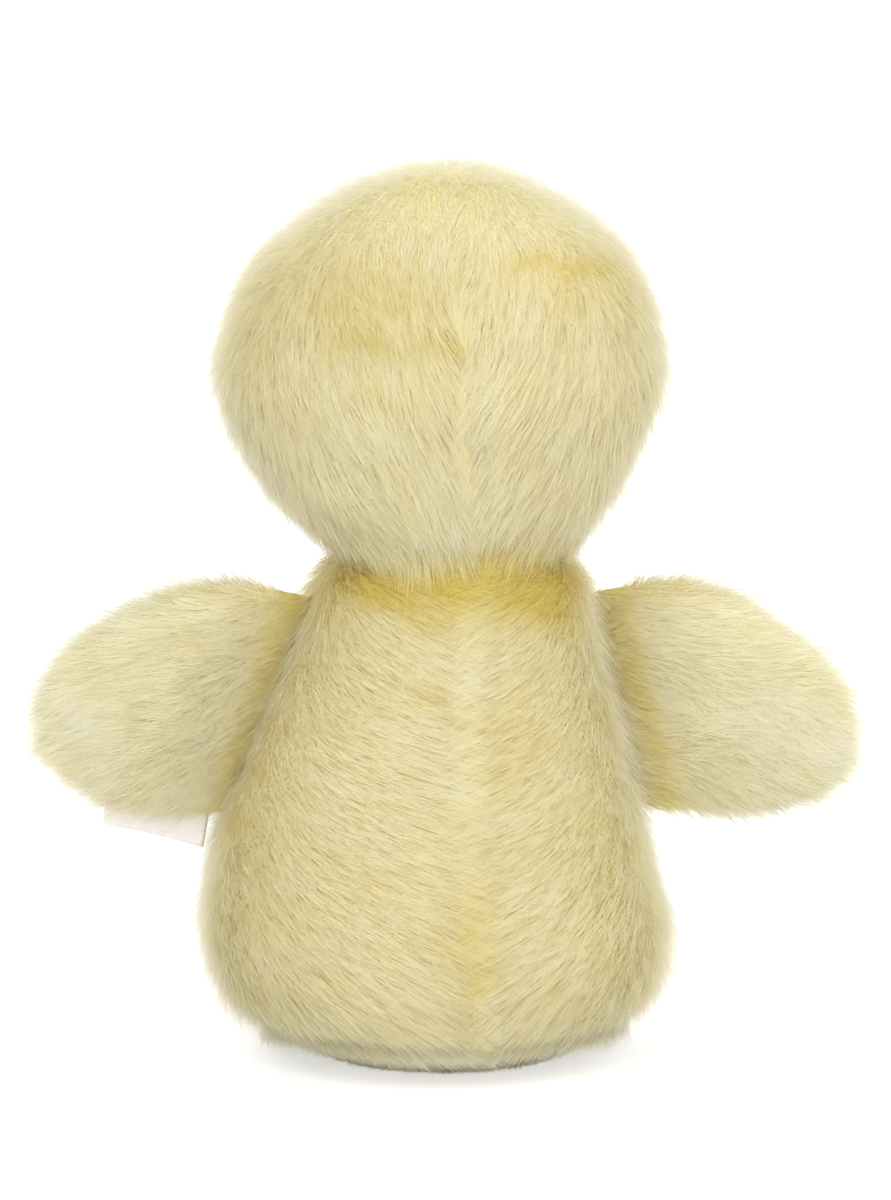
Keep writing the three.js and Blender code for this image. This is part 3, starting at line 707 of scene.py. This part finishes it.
# The head's back seam gapes a little low down
def seamSlit(points):
    along = np.clip(1 - ((points[..., 2] - 161) / 8) ** 2, 0, 1) * (points[..., 1] > 0)
    return along * np.exp(-(((points[..., 0] + 3.6) / 1.8) ** 2))


def headReach(points):
    rim = np.clip(1 - (points[..., 2] - 142) / 12, 0, 1)
    made = (1 + 0.3 * rim * wave(points, 10, 13)) * (1 + 0.1 * wave(points, 22, 12))
    made *= 1 - 0.2 * np.clip((points[..., 2] - 215) / 30, 0, 1)
    made *= (1 - 0.6 * seamSlit(points)) * (1 - 0.4 * creased(points))
    for spot in np.array(head["eyes"]):
        made *= np.clip((np.linalg.norm(points - spot, axis=-1) - 2) / 13, 0.42, 1)
    bill = np.linalg.norm((points - np.array([0, -54, 178])) * np.array([0.55, 0.5, 1]), axis=-1)
    return made * np.clip((bill - 4) / 16, 0.3, 1)


def toned(base, seed):
    def shade(points):
        made = base + 0.06 * wave(points, 19, seed) + 0.05 * wave(points, 7, seed + 1)
        # Paler towards the crown: painted light from above
        made = made + 0.45 * np.clip((points[..., 2] - 222) / 20, 0, 1)
        # Paler near the floor: painted light from the floor's bounce, lifting the shade there
        made = made + 0.5 * np.clip((18 - points[..., 2]) / 10, 0, 1)
        # A darker band along the neck crease: painted shade under the head
        neck = 138 + 4 * wave(points, 30, 6)
        nearBy = np.abs(points[..., 0]) < 45
        made = made - 0.85 * np.exp(-(((points[..., 2] - neck) / 9) ** 2)) * nearBy
        # Darker along the creases and, on the body and head, along the back seam: painted shade. The patches
        # are a deeper yellow.
        seam = seamAt(points, *(bodySeam if seed == 21 else headSeam))
        parted = np.exp(-(((points[..., 0] - seam) / 1.8) ** 2)) * (points[..., 1] > 0)
        return made - 0.5 * creased(points) - 0.8 * patched(points) - 0.2 * parted * (seed < 40)

    return shade


# A point inside for each point of the skin, from which the way out is told
def inside(low, high, back=3.0):
    def centre(points):
        blank = np.zeros(points.shape[:-1])
        return np.stack([blank, blank - back, np.clip(points[..., 2], low, high)], -1)

    return centre


pieces = {}


def finishPanel(name, carrier, made, slotName="lemon_plush", fill=0.7):
    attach(made, carrier)
    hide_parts(name)
    pieces[name] = made


bodySeam = (body["drift"], 0, body["neck"])
headSeam = (head["drift"], body["neck"], head["crown"])
bodyLook = {
    "nap": downAndAway((0.85, 0.4), 2.0, 0, 142, bodySeam, 0.2),
    "reach": bodyReach,
    "shade": toned(0.76, 21),
    "centre": inside(45, 110),
}
headLook = {
    "nap": downAndAway((1.0, 0.9), 0.7, 142, 250, headSeam),
    "reach": headReach,
    "shade": toned(0.78, 31),
    "centre": inside(192, 192),
}

bodyLow = shareAt(bodyForm, 10)
crownShare = shareAt(headForm, head["crown"])


# A panel from one angle or seam to the next. The cloth goes deeper where it turns in to the neck.
def sidePlacer(form, drift, low, high, crease, start, end):
    where, run, deeper = crease

    def placer(u, v, depth):
        share = low + (high - low) * v
        seam = seamAngle(form, drift, share, high)
        first = seam if start == "seam" else start
        last = seam if end == "seam" else end
        turnedIn = np.clip((share - where) / run, 0, 1)
        return onForm(form, first + (last - first) * u, share, depth * (1 + deeper * turnedIn**2))

    return placer


skins = {
    "body": ((bodyForm, body["drift"], bodyLow, 1, (0.93, 0.07, 0.7)), "low", bodyLook, 64),
    "head": ((headForm, head["drift"], 0, crownShare, (0.05, -0.05, 0.6)), "high", headLook, 44),
}
panels = [
    ("body_back_left", 0, "seam", 46, 101),
    ("body_back_right", "seam", math.pi, 46, 102),
    ("body_belly", -math.pi, 0, 84, 103),
    ("head_back_left", 0, "seam", 46, 104),
    ("head_back_right", "seam", math.pi, 46, 105),
    ("head_cheek_left", -math.pi / 2, 0, 46, 106),
    ("head_cheek_right", -math.pi, -math.pi / 2, 46, 107),
]
for name, start, end, columns, seed in panels:
    carrier = name.split("_")[0]
    form, rim, look, rows = skins[carrier]
    placer = sidePlacer(*form, start, end)
    made, outer, smooth = panel(f"{name}_cloth", placer, columns, rows, ("start", "end", rim))
    growPile(f"{name}_pile", emitter(f"{name}_roots", outer, smooth, look, False), made, seed, long=10.4)
    finishPanel(name, carrier, made)
print("body and head panels", furCount, "strands")


def crownPlacer(u, v, depth):
    return onForm(headForm, u * fullTurn, crownShare + (1 - crownShare) * v, depth)


def basePlacer(u, v, depth):
    sunk = np.minimum(depth, 5.4) * np.clip((v - 0.6) / 0.2, 0, 1) + (depth - 5.4) * 0.6
    points = onForm(baseForm, u * fullTurn, v, sunk)
    tucked = 1 - 0.15 * np.clip(1 - points[..., 2] / 9, 0, 1)
    return points * np.stack([tucked, tucked, np.ones(tucked.shape)], -1)


made, outer, smooth = panel("head_crown_cloth", crownPlacer, 112, 36, ("low",), wrap=True, dip=0.3)
source = emitter("head_crown_roots", outer, smooth, headLook, True)
growPile("head_crown_pile", source, made, 108, long=10.4, density=5.2)
finishPanel("head_crown", "head", made)

made, outer, smooth = panel("body_base_cloth", basePlacer, 104, 30, ("high",), wrap=True)
baseLook = bodyLook | {
    "reach": lambda points: bodyReach(points) * (0.8 + 0.2 * smoothShare(points[..., 2] / 4)),
}
source = emitter("body_base_roots", outer[12:], smooth[12:], baseLook, True)
growPile("body_base_pile", source, made, 109, long=15)
finishPanel("body_base", "body", made)
print("crown and base", furCount, "strands")


# The crease of the neck is filled by a ring of deeper pile that goes with the neck. Its deep tone is painted
# shade in the crease.
neckSizes = {"radius": 25.5, "bulge": 2.4, "rise": 7.0, "turned": 0.55, "filling": 24.5}


def neckRing():
    turned = np.linspace(-neckSizes["turned"], neckSizes["turned"], 9)[:, None]
    angle = np.linspace(0, fullTurn, 120)
    radius = neckSizes["radius"] + neckSizes["bulge"] * np.cos(turned)
    height = body["neck"] + neckSizes["rise"] * np.sin(turned) + 0 * angle
    return np.stack([radius * np.cos(angle) + np.interp(height, *sway), radius * np.sin(angle), height], -1)


neckLook = {
    "nap": lambda points, normal: np.array([0, 0, 1]) * (-0.6 + 0.9 * wave(points, 12, 3))[..., None],
    "reach": lambda points: np.ones(points.shape[:-1]),
    # A deep tone all round: painted shade in the crease
    "shade": lambda points: 0.12 + 0.12 * wave(points, 9, 4),
    "centre": inside(0, 250, 0),
}
ring = neckRing()

# Wings are pillows sewn into the side seams, made in the frame of their hinge
wings = {
    "reach": 58.5,
    "thickness": 26,
    "cup": 6,
    "tuck": 9,
    "lift": 6.5,
    "droop": {1: 0.0, -1: 0.11},
    "rootShare": 0.12,
    "fullShare": 0.5,
    "middle": (0.55, 0.5),
    "seam": 64,
    "outline": [
        (0, 0), (0.045, 0.31), (0.11, 0.51), (0.22, 0.67), (0.34, 0.79), (0.455, 0.89), (0.57, 0.965),
        (0.7, 1), (0.865, 0.97), (1, 0.855), (1.065, 0.68), (1.08, 0.48), (1.05, 0.18), (1, 0),
    ],
}


def hingeFrame(joint):
    origin = np.array(joint["pos_m"], float) / mm
    zAxis = np.array(joint["axis"], float)
    zAxis *= np.sign(zAxis[2])
    zAxis /= np.linalg.norm(zAxis)
    xAxis = np.cross([0, 1, 0], zAxis)
    xAxis /= np.linalg.norm(xAxis)
    return origin, np.array([xAxis, np.cross(zAxis, xAxis), zAxis])


def wingPlacer(side, face, origin, axes, seam):
    line = smoothLine([(d * seam, o * wings["reach"], 0) for d, o in wings["outline"]], 300)[:, :2]
    line[[0, -1], 1] = 0
    line = np.concatenate([line, np.linspace(line[-1], line[0], 60)[1:]])
    line[:, 1] -= wings["tuck"] * (1 - smoothShare(line[:, 1] / 16))
    run = runOf(line)
    run /= run[-1]
    middle = np.array([wings["middle"][0] * seam, wings["middle"][1] * wings["reach"]])

    def placer(u, v, depth):
        edge = np.stack([np.interp(u, run, line[:, k]) for k in range(2)], -1)
        share = (1 - v) ** 0.8
        drawn = 1 - depth / middle[1] * 0.8
        spot = middle + (edge - middle) * (share * drawn)[..., None]
        down, along = spot[..., 0], spot[..., 1]
        filled = smoothShare(along / (wings["fullShare"] * wings["reach"]) + 0.12)
        fullness = wings["rootShare"] + (1 - wings["rootShare"]) * filled
        pillow = np.maximum(wings["thickness"] / 2 - depth, 0.4) * np.sqrt(np.maximum(1 - share**2, 0))
        height = 0.04 + pillow * fullness
        cup = wings["cup"] * (along / wings["reach"]) ** 2
        droop = wings["droop"][side] * np.maximum(along, 0) * (0.4 + 1.2 * np.clip(down / seam, 0, 1))
        nearRoot = np.exp(-((np.maximum(along - 4, 0) / 24) ** 2))
        lift = wings["lift"] * nearRoot * np.clip(1 - down / 28, 0, 1)
        points = origin + np.stack([side * along, face * height - cup, lift - down - droop], -1) @ axes
        points[..., 0] += np.interp(points[..., 2], *sway) * np.clip(1 - along / 40, 0, 1)
        return points

    return placer


def wingLook(side, face, origin, axes, seam):
    outward, back, up = axes * np.array([[side], [1], [1]])

    def nap(points, normal):
        local = (points - origin) @ axes.T
        swirl = 0.3 * wave(points, 26, 8)
        share = np.clip(local[..., 0] * side / wings["reach"], 0, 1)
        fan = (-local[..., 2] / seam - 0.35) * 0.8
        return outward * (0.9 + 0.1 * share)[..., None] - up * (0.45 + fan * share + swirl)[..., None]

    def reach(points):
        local = (points - origin) @ axes.T
        return np.clip(local[..., 0] * side / 9, 0.8, 1) * (1 + 0.08 * wave(points, 18, 15))

    def centre(points):
        return origin + np.array([side * 29, -face * 40, -seam * 0.55]) @ axes + np.zeros(points.shape)

    def shade(points):
        local = (points - origin) @ axes.T
        # Darker along the root: painted shade in the crease where the wing meets the body
        root = np.exp(-((local[..., 0] * side / 4) ** 2))
        top = smoothShare((local[..., 2] + 14) / 14) * (0.35 if side < 0 else 0.15)
        return toned(0.86, 41)(points) - 0.3 * root - top * (1 - root)

    return {"nap": nap, "reach": reach, "shade": shade, "centre": centre}


def buildWing(end, side):
    origin, axes = hingeFrame(joints[f"wing_flap_{end}"])
    seam = wings["seam"] / axes[2][2]
    for face, where in ((1, "back"), (-1, "front")):
        placer = wingPlacer(side, face, origin, axes, seam)
        name = f"wing_{where}_{end}"
        made, outer, smooth = panel(f"{name}_cloth", placer, 104, 26, ("low",), wrap=True, depth=5.0, dip=0.3)
        lay = 0.7 + 0.3 * smoothShare(np.linspace(0, 1, 26) * 5)[:, None, None]
        source = emitter(f"{name}_roots", outer, smooth, wingLook(side, face, origin, axes, seam), True, lay)
        growPile(f"{name}_pile", source, made, 120 + side * 2 + face, 9.8, 8.4, 0.0, 0.34)
        finishPanel(name, f"wing_{end}", made)


buildWing("left", 1)
buildWing("right", -1)
print("wings", furCount, "strands")


def footFrame(end):
    axis = np.array(joints[f"foot_lift_{end}"]["axis"], float)
    outward = np.array([-axis[1], axis[0], 0])
    outward *= np.sign(-outward[1])
    across = np.array([-outward[1], outward[0], 0])
    return np.array(joints[f"foot_lift_{end}"]["pos_m"], float) / mm, outward, across


# A foot's heel is sewn in under the body, so its felt runs back beneath the pile
def heelTucked(points, end):
    origin, outward, across = footFrame(end)
    tucked = 1 - smoothShare((points - origin) @ outward / 16)
    made = points - outward * (8.5 * tucked)[:, None]
    made[:, 2] += tucked * 4.2 * np.clip(1 - points[:, 2] / 9, 0, 1)
    return made


# The bill's root runs back through the pile to the cloth of the face
def rootTucked(points):
    made = points.copy()
    made[:, 1] += 7 * (1 - smoothShare((billFace - points[:, 1] + 4) / 16))
    return made


# The neck's filling is drawn in behind the pile of the crease
def drawnIn(points):
    radius = np.hypot(points[:, 0], points[:, 1])
    share = np.minimum(1, neckSizes["filling"] / np.maximum(radius, 1))
    return points * np.stack([share, share, np.ones(len(points))], -1)


billSizes = {
    "width": 46,
    "length": 30,
    "root": 10,
    "mouth": 178,
    "outline": [(0.45, 0.85), (0.65, 0.97), (0.8, 1), (0.91, 0.88), (0.98, 0.55)],
}
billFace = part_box("bill_upper")[0][1] / mm + billSizes["length"]


def reshaped(points, nodeName):
    if nodeName == "neck_filling":
        return drawnIn(points)
    if nodeName.startswith("bill"):
        return rootTucked(points)
    return heelTucked(points, nodeName.split("_")[-1]) if nodeName.startswith("foot") else points


# Fillings, felt and the pellet bag are made again from their CAD solids, smoothed and a little lumpy
def fromSolid(nodeName, carrier, kind, voxel, lumps, size, fill):
    material, slotName, smooth = kind
    name = f"{nodeName}_soft"
    made = placed(name, nodes[nodeName].data.copy())
    points = np.array([v.co for v in made.data.vertices], float) / mm
    made.data.vertices.foreach_set("co", (reshaped(points, nodeName) * mm).ravel())
    remesh = made.modifiers.new("remesh", "REMESH")
    remesh.mode, remesh.voxel_size = "VOXEL", voxel * mm
    relax = made.modifiers.new("relax", "SMOOTH")
    relax.iterations, relax.factor = smooth, 0.5
    graph = bpy.context.evaluated_depsgraph_get()
    mesh = bpy.data.meshes.new_from_object(made.evaluated_get(graph))
    made.modifiers.clear()
    made.data = mesh
    mesh.name = name
    mesh.materials.clear()
    mesh.materials.append(material)
    points, normals = np.zeros(len(mesh.vertices) * 3), np.zeros(len(mesh.vertices) * 3)
    mesh.vertices.foreach_get("co", points)
    mesh.vertices.foreach_get("normal", normals)
    points, normals = points.reshape(-1, 3), normals.reshape(-1, 3)
    points = points - normals * ((0.5 + 0.5 * wave(points / mm, size, 61)) * lumps * mm)[:, None]
    mesh.vertices.foreach_set("co", points.ravel())
    mesh.shade_smooth()
    finishPanel(nodeName, carrier, made, slotName, fill)


# The material, the slot and how often the surface is smoothed
wad, softWad = (fibre, "fibre_filling", 3), (fibre, "fibre_filling", 2)
feltKind = (felt, "orange_felt", 5)
# The carrier, the kind, the voxel size, the depth and size of the lumps, and how full the piece is
solids = {
    "body_filling": ("body", wad, 3.0, 1.2, 16.0, 0.7),
    "pellet_bag": ("body", (calico, "pellet_cloth", 3), 2.0, 0.8, 6.0, 0.8),
    "neck_filling": ("neck", (backing, "fibre_filling", 3), 2.4, 0.6, 16.0, 0.8),
    "head_filling": ("head", wad, 3.0, 1.2, 16.0, 0.7),
    "bill_filling": ("head", softWad, 1.4, 0.3, 8.0, 0.8),
    "wing_filling_left": ("wing_left", softWad, 1.6, 0.3, 10.0, 0.7),
    "wing_filling_right": ("wing_right", softWad, 1.6, 0.3, 10.0, 0.7),
    "foot_filling_left": ("foot_left", softWad, 1.2, 0.2, 8.0, 0.8),
    "foot_filling_right": ("foot_right", softWad, 1.2, 0.2, 8.0, 0.8),
    "bill_upper": ("head", feltKind, 0.9, 0.12, 5.0, 0.8),
    "bill_lower": ("head", feltKind, 0.9, 0.12, 5.0, 0.8),
    "foot_upper_left": ("foot_left", feltKind, 0.9, 0.12, 5.0, 0.7),
    "foot_upper_right": ("foot_right", feltKind, 0.9, 0.12, 5.0, 0.7),
    "foot_sole_left": ("foot_left", feltKind, 0.9, 0.12, 5.0, 0.7),
    "foot_sole_right": ("foot_right", feltKind, 0.9, 0.12, 5.0, 0.7),
}
for nodeName, sizes in solids.items():
    fromSolid(nodeName, *sizes)
source = emitter("neck_roots", ring, ring, neckLook, True)
growPile("neck_pile", source, pieces["neck_filling"], 130, long=6.5, pull=0.3)
print("fillings and felt")


# One stitch: a short thread with rounded ends that bows out of the felt
def stitchObject(long, thick):
    rings, sides, points = 7, 6, []
    for t in np.linspace(0, 1, rings):
        radius = thick * math.sin(math.pi * (0.12 + 0.76 * t)) ** 0.5
        bow = 0.9 * thick * math.sin(math.pi * t) - 0.5 * thick
        for a in np.linspace(0, fullTurn, sides, endpoint=False):
            points.append(((t - 0.5) * long, radius * math.cos(a), radius * math.sin(a) + bow))
    faces = ringFaces(rings, sides)
    faces += [tuple(range(sides)), tuple((rings - 1) * sides + j for j in range(sides))]
    made = meshObject("stitch", np.array(points) * mm, faces, feltThread)
    tidyMesh(made)
    return made


def stitchTree():
    inputs = {"Geometry": "Geometry", "Stitch": "Object", "Material": "Material"}
    tree, given, made = newTree("stitches", "GeometryNodeTree", inputs, {"Geometry": "Geometry"})
    places = add(tree, "GeometryNodeMeshToPoints", {"Mesh": given["Geometry"]})
    out = add(tree, "GeometryNodeInputNamedAttribute", {"Name": "out"}, data_type="FLOAT_VECTOR")
    run = add(tree, "GeometryNodeInputNamedAttribute", {"Name": "run"}, data_type="FLOAT_VECTOR")
    upright = add(tree, "FunctionNodeAlignRotationToVector", {"Vector": out}, axis="Z")
    inputs = {"Rotation": upright, "Vector": run}
    turned = add(tree, "FunctionNodeAlignRotationToVector", inputs, axis="X", pivot_axis="Z")
    stitch = add(tree, "GeometryNodeObjectInfo", {"Object": given["Stitch"]}).outputs["Geometry"]
    inputs = {"Points": places, "Instance": stitch, "Rotation": turned}
    copies = add(tree, "GeometryNodeInstanceOnPoints", inputs)
    real = add(tree, "GeometryNodeRealizeInstances", {"Geometry": copies})
    coloured = {"Geometry": real, "Material": given["Material"]}
    feed(tree, made[0], add(tree, "GeometryNodeSetMaterial", coloured))
    return tree


stitchNodes = stitchTree()


def sew(name, places, outs, runs, carrier, long=2.0, thick=0.32):
    stitch = stitchObject(long, thick)
    source = meshObject(f"{name}_places", np.array(places) * mm, [], feltThread)
    keepOn(source, "out", outs)
    keepOn(source, "run", runs)
    made = placed(name, grownFrom(source, stitchNodes, {"Stitch": stitch, "Material": feltThread}, name))
    bpy.data.objects.remove(stitch)
    made.parent = pieces[carrier]


# Points along a line at a steady spacing, with the way on
def spaced(line, spacing):
    line = np.array(line, float)
    run = runOf(line)
    count = max(2, int(run[-1] / spacing))
    at = (np.arange(count) + 0.5) * run[-1] / count
    places, ahead, behind = (
        np.stack([np.interp(at + shift, run, line[:, k]) for k in range(3)], -1) for shift in (0, 0.3, -0.3)
    )
    return places, unit(ahead - behind)


# Draws points on to the nearest spot of a piece
def drawnTo(places, piece):
    piece.data.update()
    found, outs = [], []
    for place in places:
        _, spot, normal, _ = piece.closest_point_on_mesh(Vector(place) * mm)
        found.append(np.array(spot) / mm)
        outs.append(normal)
    return np.array(found), np.array(outs)


# Drops points on to a piece from above
def laidOn(places, piece):
    piece.data.update()
    found, outs = [], []
    for x, y, z in places:
        hit, spot, normal, _ = piece.ray_cast(Vector((x, y, 400)) * mm, Vector((0, 0, -1)))
        found.append(np.array(spot) / mm if hit else (x, y, z))
        outs.append(normal if hit else (0, 0, 1))
    return np.array(found), np.array(outs)


# An edge seam: stitches across the line where two felts meet
def sewEdge(name, line, carrier):
    places, outs = drawnTo(spaced(smoothLine(line, 240), 2.5)[0], pieces[carrier])
    sew(name, places, outs, np.tile([0, 0, 1.0], (len(places), 1)), carrier, 2.2, 0.28)


footSizes = {
    "length": 46,
    "width": 38,
    "edge": 5.2,
    "outline": [
        (0.22, 0.7), (0.46, 0.85), (0.7, 0.98), (0.85, 1), (0.95, 0.87),
        (0.95, 0.68), (0.88, 0.48), (0.97, 0.32), (1, 0.11),
    ],
    "toes": [(0.84, 0.47), (0.66, 0.4), (0.48, 0.32)],
}


def sewFoot(end):
    origin, outward, across = footFrame(end)

    def onFoot(share, aside):
        return origin + outward * (share * footSizes["length"]) + across * (aside * footSizes["width"] / 2)

    outline = footSizes["outline"]
    edge = [onFoot(a, w) for a, w in outline] + [onFoot(a, -w) for a, w in outline[::-1]]
    sewEdge(f"foot_edge_stitches_{end}", [(x, y, footSizes["edge"]) for x, y, _ in edge], f"foot_upper_{end}")
    toes = [spaced([onFoot(a, w * side) for a, w in footSizes["toes"]], 2.6) for side in (-1, 1)]
    places, outs = laidOn(np.concatenate([toe[0] for toe in toes]), pieces[f"foot_upper_{end}"])
    ways = np.concatenate([toe[1] for toe in toes])
    sew(f"foot_toe_stitches_{end}", places, outs, ways, f"foot_upper_{end}", 1.9)


def sewBill():
    whole, mouth = billSizes["root"] + billSizes["length"], billSizes["mouth"]
    root = billFace + billSizes["root"]
    half = [(w * billSizes["width"] / 2, root - a * whole) for a, w in billSizes["outline"]]
    line = [(x, y, mouth) for x, y in half] + [(0, billFace - billSizes["length"], mouth)]
    sewEdge("bill_mouth_stitches", line + [(-x, y, mouth) for x, y in half[::-1]], "bill_upper")
    sides = np.array([-1, -1, -1, 1, 1, 1])
    step = np.array([-1, 0, 1] * 2)
    nostrils = np.stack([sides * (5.6 + 0.75 * step), billFace - 9.5 - 0.5 * step, 200 + 0 * step], -1)
    places, outs = laidOn(nostrils, pieces["bill_upper"])
    runs = [(side * -0.35, -1, 0) for side in sides]
    sew("bill_nostril_stitches", places, outs, runs, "bill_upper", 3.4, 0.38)


sewFoot("left")
sewFoot("right")
sewBill()
print("stitches")


# The points of a CAD solid, their middle and their main ways, the longest first
def axesOf(nodeName):
    points = np.array([v.co for v in nodes[nodeName].data.vertices], float)
    middle = points.mean(0)
    return points, middle, np.linalg.eigh(np.cov((points - middle).T))[1].T[::-1]


# The care label is a folded satin loop on the axes of its CAD solid, in metres
labelSizes = {
    "thickness": 0.0003,
    "gap": 0.0005,
    "bow": 0.0011,
    "curl": 0.0007,
    "waist": 0.03,
    "sink": 0.0004,
}


def careLabel():
    points, middle, (along, across, _) = axesOf("care_label")
    along = along * np.sign(along[0])
    across = across * np.sign(across[2])
    up = np.cross(along, across)
    run = (points - middle) @ along
    low, high = run.min(), run.max()
    wide, length, gap = np.ptp((points - middle) @ across), high - low, labelSizes["gap"]
    stations = low + np.linspace(0, length - gap, 26)
    bend = np.linspace(math.pi / 2, -math.pi / 2, 9)[1:-1]

    def side(y, turned=1):
        return [(s, y) for s in stations[::turned]]

    def fold(radius, turned=1):
        return [(high - gap + radius * math.cos(t), radius * math.sin(t)) for t in bend[::turned]]

    outer, inner = gap / 2 + labelSizes["thickness"], gap / 2
    loop = side(outer) + fold(outer) + side(-outer, -1) + side(-inner) + fold(inner, -1) + side(inner, -1)
    columns = np.linspace(-wide / 2, wide / 2, 13)
    rows = []
    for column in columns:
        for x, y in loop:
            share = (x - low) / length
            swell = math.sin(math.pi * share)
            bow = labelSizes["bow"] * swell * (1 - 0.5 * share)
            bow += labelSizes["curl"] * share * math.sin(4.8 * column / wide) - labelSizes["sink"]
            aside = column * (1 - labelSizes["waist"] * swell)
            rows.append(middle + along * x + across * aside + up * (y + bow))
    count = len(loop)
    faces = ringFaces(len(columns), count)
    for end in (0, (len(columns) - 1) * count):
        for j in range(count // 2 - 1):
            k = count - 1 - j
            faces.append((end + j, end + j + 1, end + k - 1, end + k))
    made = meshObject("care_label_satin", rows, faces, satin)
    tidyMesh(made, 1e-7)
    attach(made, "wing_left")
    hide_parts("care_label")


careLabel()


def eyeMaterial():
    material, tree, shader = newMaterial("eye_gloss", 0.1)
    place = add(tree, "ShaderNodeTexCoord").outputs["Object"]
    dust = add(tree, "ShaderNodeTexNoise", {"Vector": place, "Scale": 900.0, "Detail": 4.0}).outputs[0]
    feed(tree, shader.inputs["Base Color"], blend(tree, dust, srgb(9, 8, 8), srgb(22, 19, 18)))
    feed(tree, shader.inputs["Roughness"], ranged(tree, dust, 0.3, 0.8, 0.07, 0.2))
    shader.inputs["Coat Weight"].default_value = 0.6
    return material


gloss = eyeMaterial()

# Eyes are moulded domes with a rim, on a notched shank that the washer locks
eyeSizes = {
    "radius": 5.5,
    "dome": 4.5,
    "shank": 2.0,
    "notch": 0.22,
    "notches": 12,
    "notchedFrom": 5.5,
    "sides": 40,
}


def buildEye(end):
    points, middle, axes = axesOf(f"eye_{end}")
    headMiddle = np.array([0, 0, 0.195])
    axis = axes[0] * np.sign((middle - headMiddle) @ axes[0])
    run = (points - middle) @ axis
    centre = middle + axis * run.max()
    side = unit(np.cross(axis, [0, 0, 1.0]))
    up = np.cross(side, axis)
    long, count, start = np.ptp(run) / mm, eyeSizes["notches"], eyeSizes["notchedFrom"]
    arc = np.linspace(0, math.pi / 2, 13)
    profile = [(eyeSizes["radius"] * math.sin(t), eyeSizes["dome"] * (math.cos(t) - 1)) for t in arc]
    profile += [(5.35, -4.9), (4.9, -5.1), (2.3, -5.1), (eyeSizes["shank"], -start)]
    for k in range(count):
        depth = start + (long - start - 0.7) * (k + 1) / count
        profile.append((eyeSizes["shank"] - eyeSizes["notch"] * (k % 2), -depth))
    profile += [(1.6, 0.1 - long), (0, 0.05 - long)]
    rows = [
        centre + (axis * z + (side * math.cos(a) + up * math.sin(a)) * r) * mm
        for r, z in profile
        for a in np.linspace(0, fullTurn, eyeSizes["sides"], endpoint=False)
    ]
    made = meshObject(f"eye_{end}_dome", rows, ringFaces(len(profile), eyeSizes["sides"]), gloss)
    tidyMesh(made, 1e-7)
    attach(made, "head")
    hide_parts(f"eye_{end}")
    for slot in nodes[f"eye_washer_{end}"].material_slots:
        slot.material = plastic


buildEye("left")
buildEye("right")
print("label and eyes")

view = {"azimuth": 175, "elevation": 9, "distance": 1.6, "target": (0, 0, 0.127), "halfHeight": 0.1645}


def addCamera():
    data = bpy.data.cameras.new("camera")
    data.sensor_fit, data.sensor_height = "VERTICAL", 36
    data.lens = 18 / (view["halfHeight"] / view["distance"])
    made = placed("camera", data)
    a, e = math.radians(view["azimuth"]), math.radians(view["elevation"])
    back = Vector((math.sin(a) * math.cos(e), -math.cos(a) * math.cos(e), math.sin(e)))
    made.location = Vector(view["target"]) + back * view["distance"]
    made.rotation_euler = (-back).to_track_quat("-Z", "Y").to_euler()
    data.clip_start, data.clip_end = 0.05, 50
    bpy.context.scene.camera = made


def addLight(name, place, size, power):
    data = bpy.data.lights.new(name, "AREA")
    data.shape, data.size, data.energy = "DISK", size, power
    made = placed(name, data)
    made.location = place
    made.rotation_euler = (Vector((0, 0, 0.12)) - Vector(place)).to_track_quat("-Z", "Y").to_euler()


# A plain white room, for every kind of ray
def addWorld():
    world = bpy.data.worlds.new("studio")
    world.use_nodes = True
    bpy.context.scene.world = world
    tree = world.node_tree
    tree.nodes.clear()
    room = add(tree, "ShaderNodeBackground", {"Color": (1, 1, 1), "Strength": 1.0})
    add(tree, "ShaderNodeOutputWorld", {0: room})


# The camera sees a floor that is lifted to white where no shadow falls
def addFloor():
    material, tree, shader = newMaterial("pale_floor", 0.9)
    shader.inputs["Specular IOR Level"].default_value = 0
    shader.inputs["Emission Color"].default_value = (1, 1, 1, 1)
    camera = add(tree, "ShaderNodeLightPath").outputs["Is Camera Ray"]
    feed(tree, shader.inputs["Base Color"], ranged(tree, camera, 0, 1, 0.95, 0.6))
    feed(tree, shader.inputs["Emission Strength"], ranged(tree, camera, 0, 1, 0, 0.55))
    far = 40
    points = [(-far, -far, 0), (far, -far, 0), (far, far, 0), (-far, far, 0)]
    meshObject("floor", points, [(0, 1, 2, 3)], material)


addCamera()
addWorld()
addFloor()
addLight("key", (0.8, 1.3, 2.1), 1.4, 13)
addLight("low_left", (1.4, 1.9, 0.2), 1.6, 6)
addLight("low_right", (-1.4, 1.9, 0.2), 1.6, 6)
addLight("low_back", (0.1, 2.2, 0.12), 0.9, 3.5)
addLight("fill", (-1.8, 0.4, 1.3), 1.6, 9)
addLight("front", (0.6, -2.2, 1.4), 1.6, 14)
bpy.context.scene.view_settings.view_transform = "Standard"
bpy.data.objects.remove(strand)
print("strands in all", furCount)
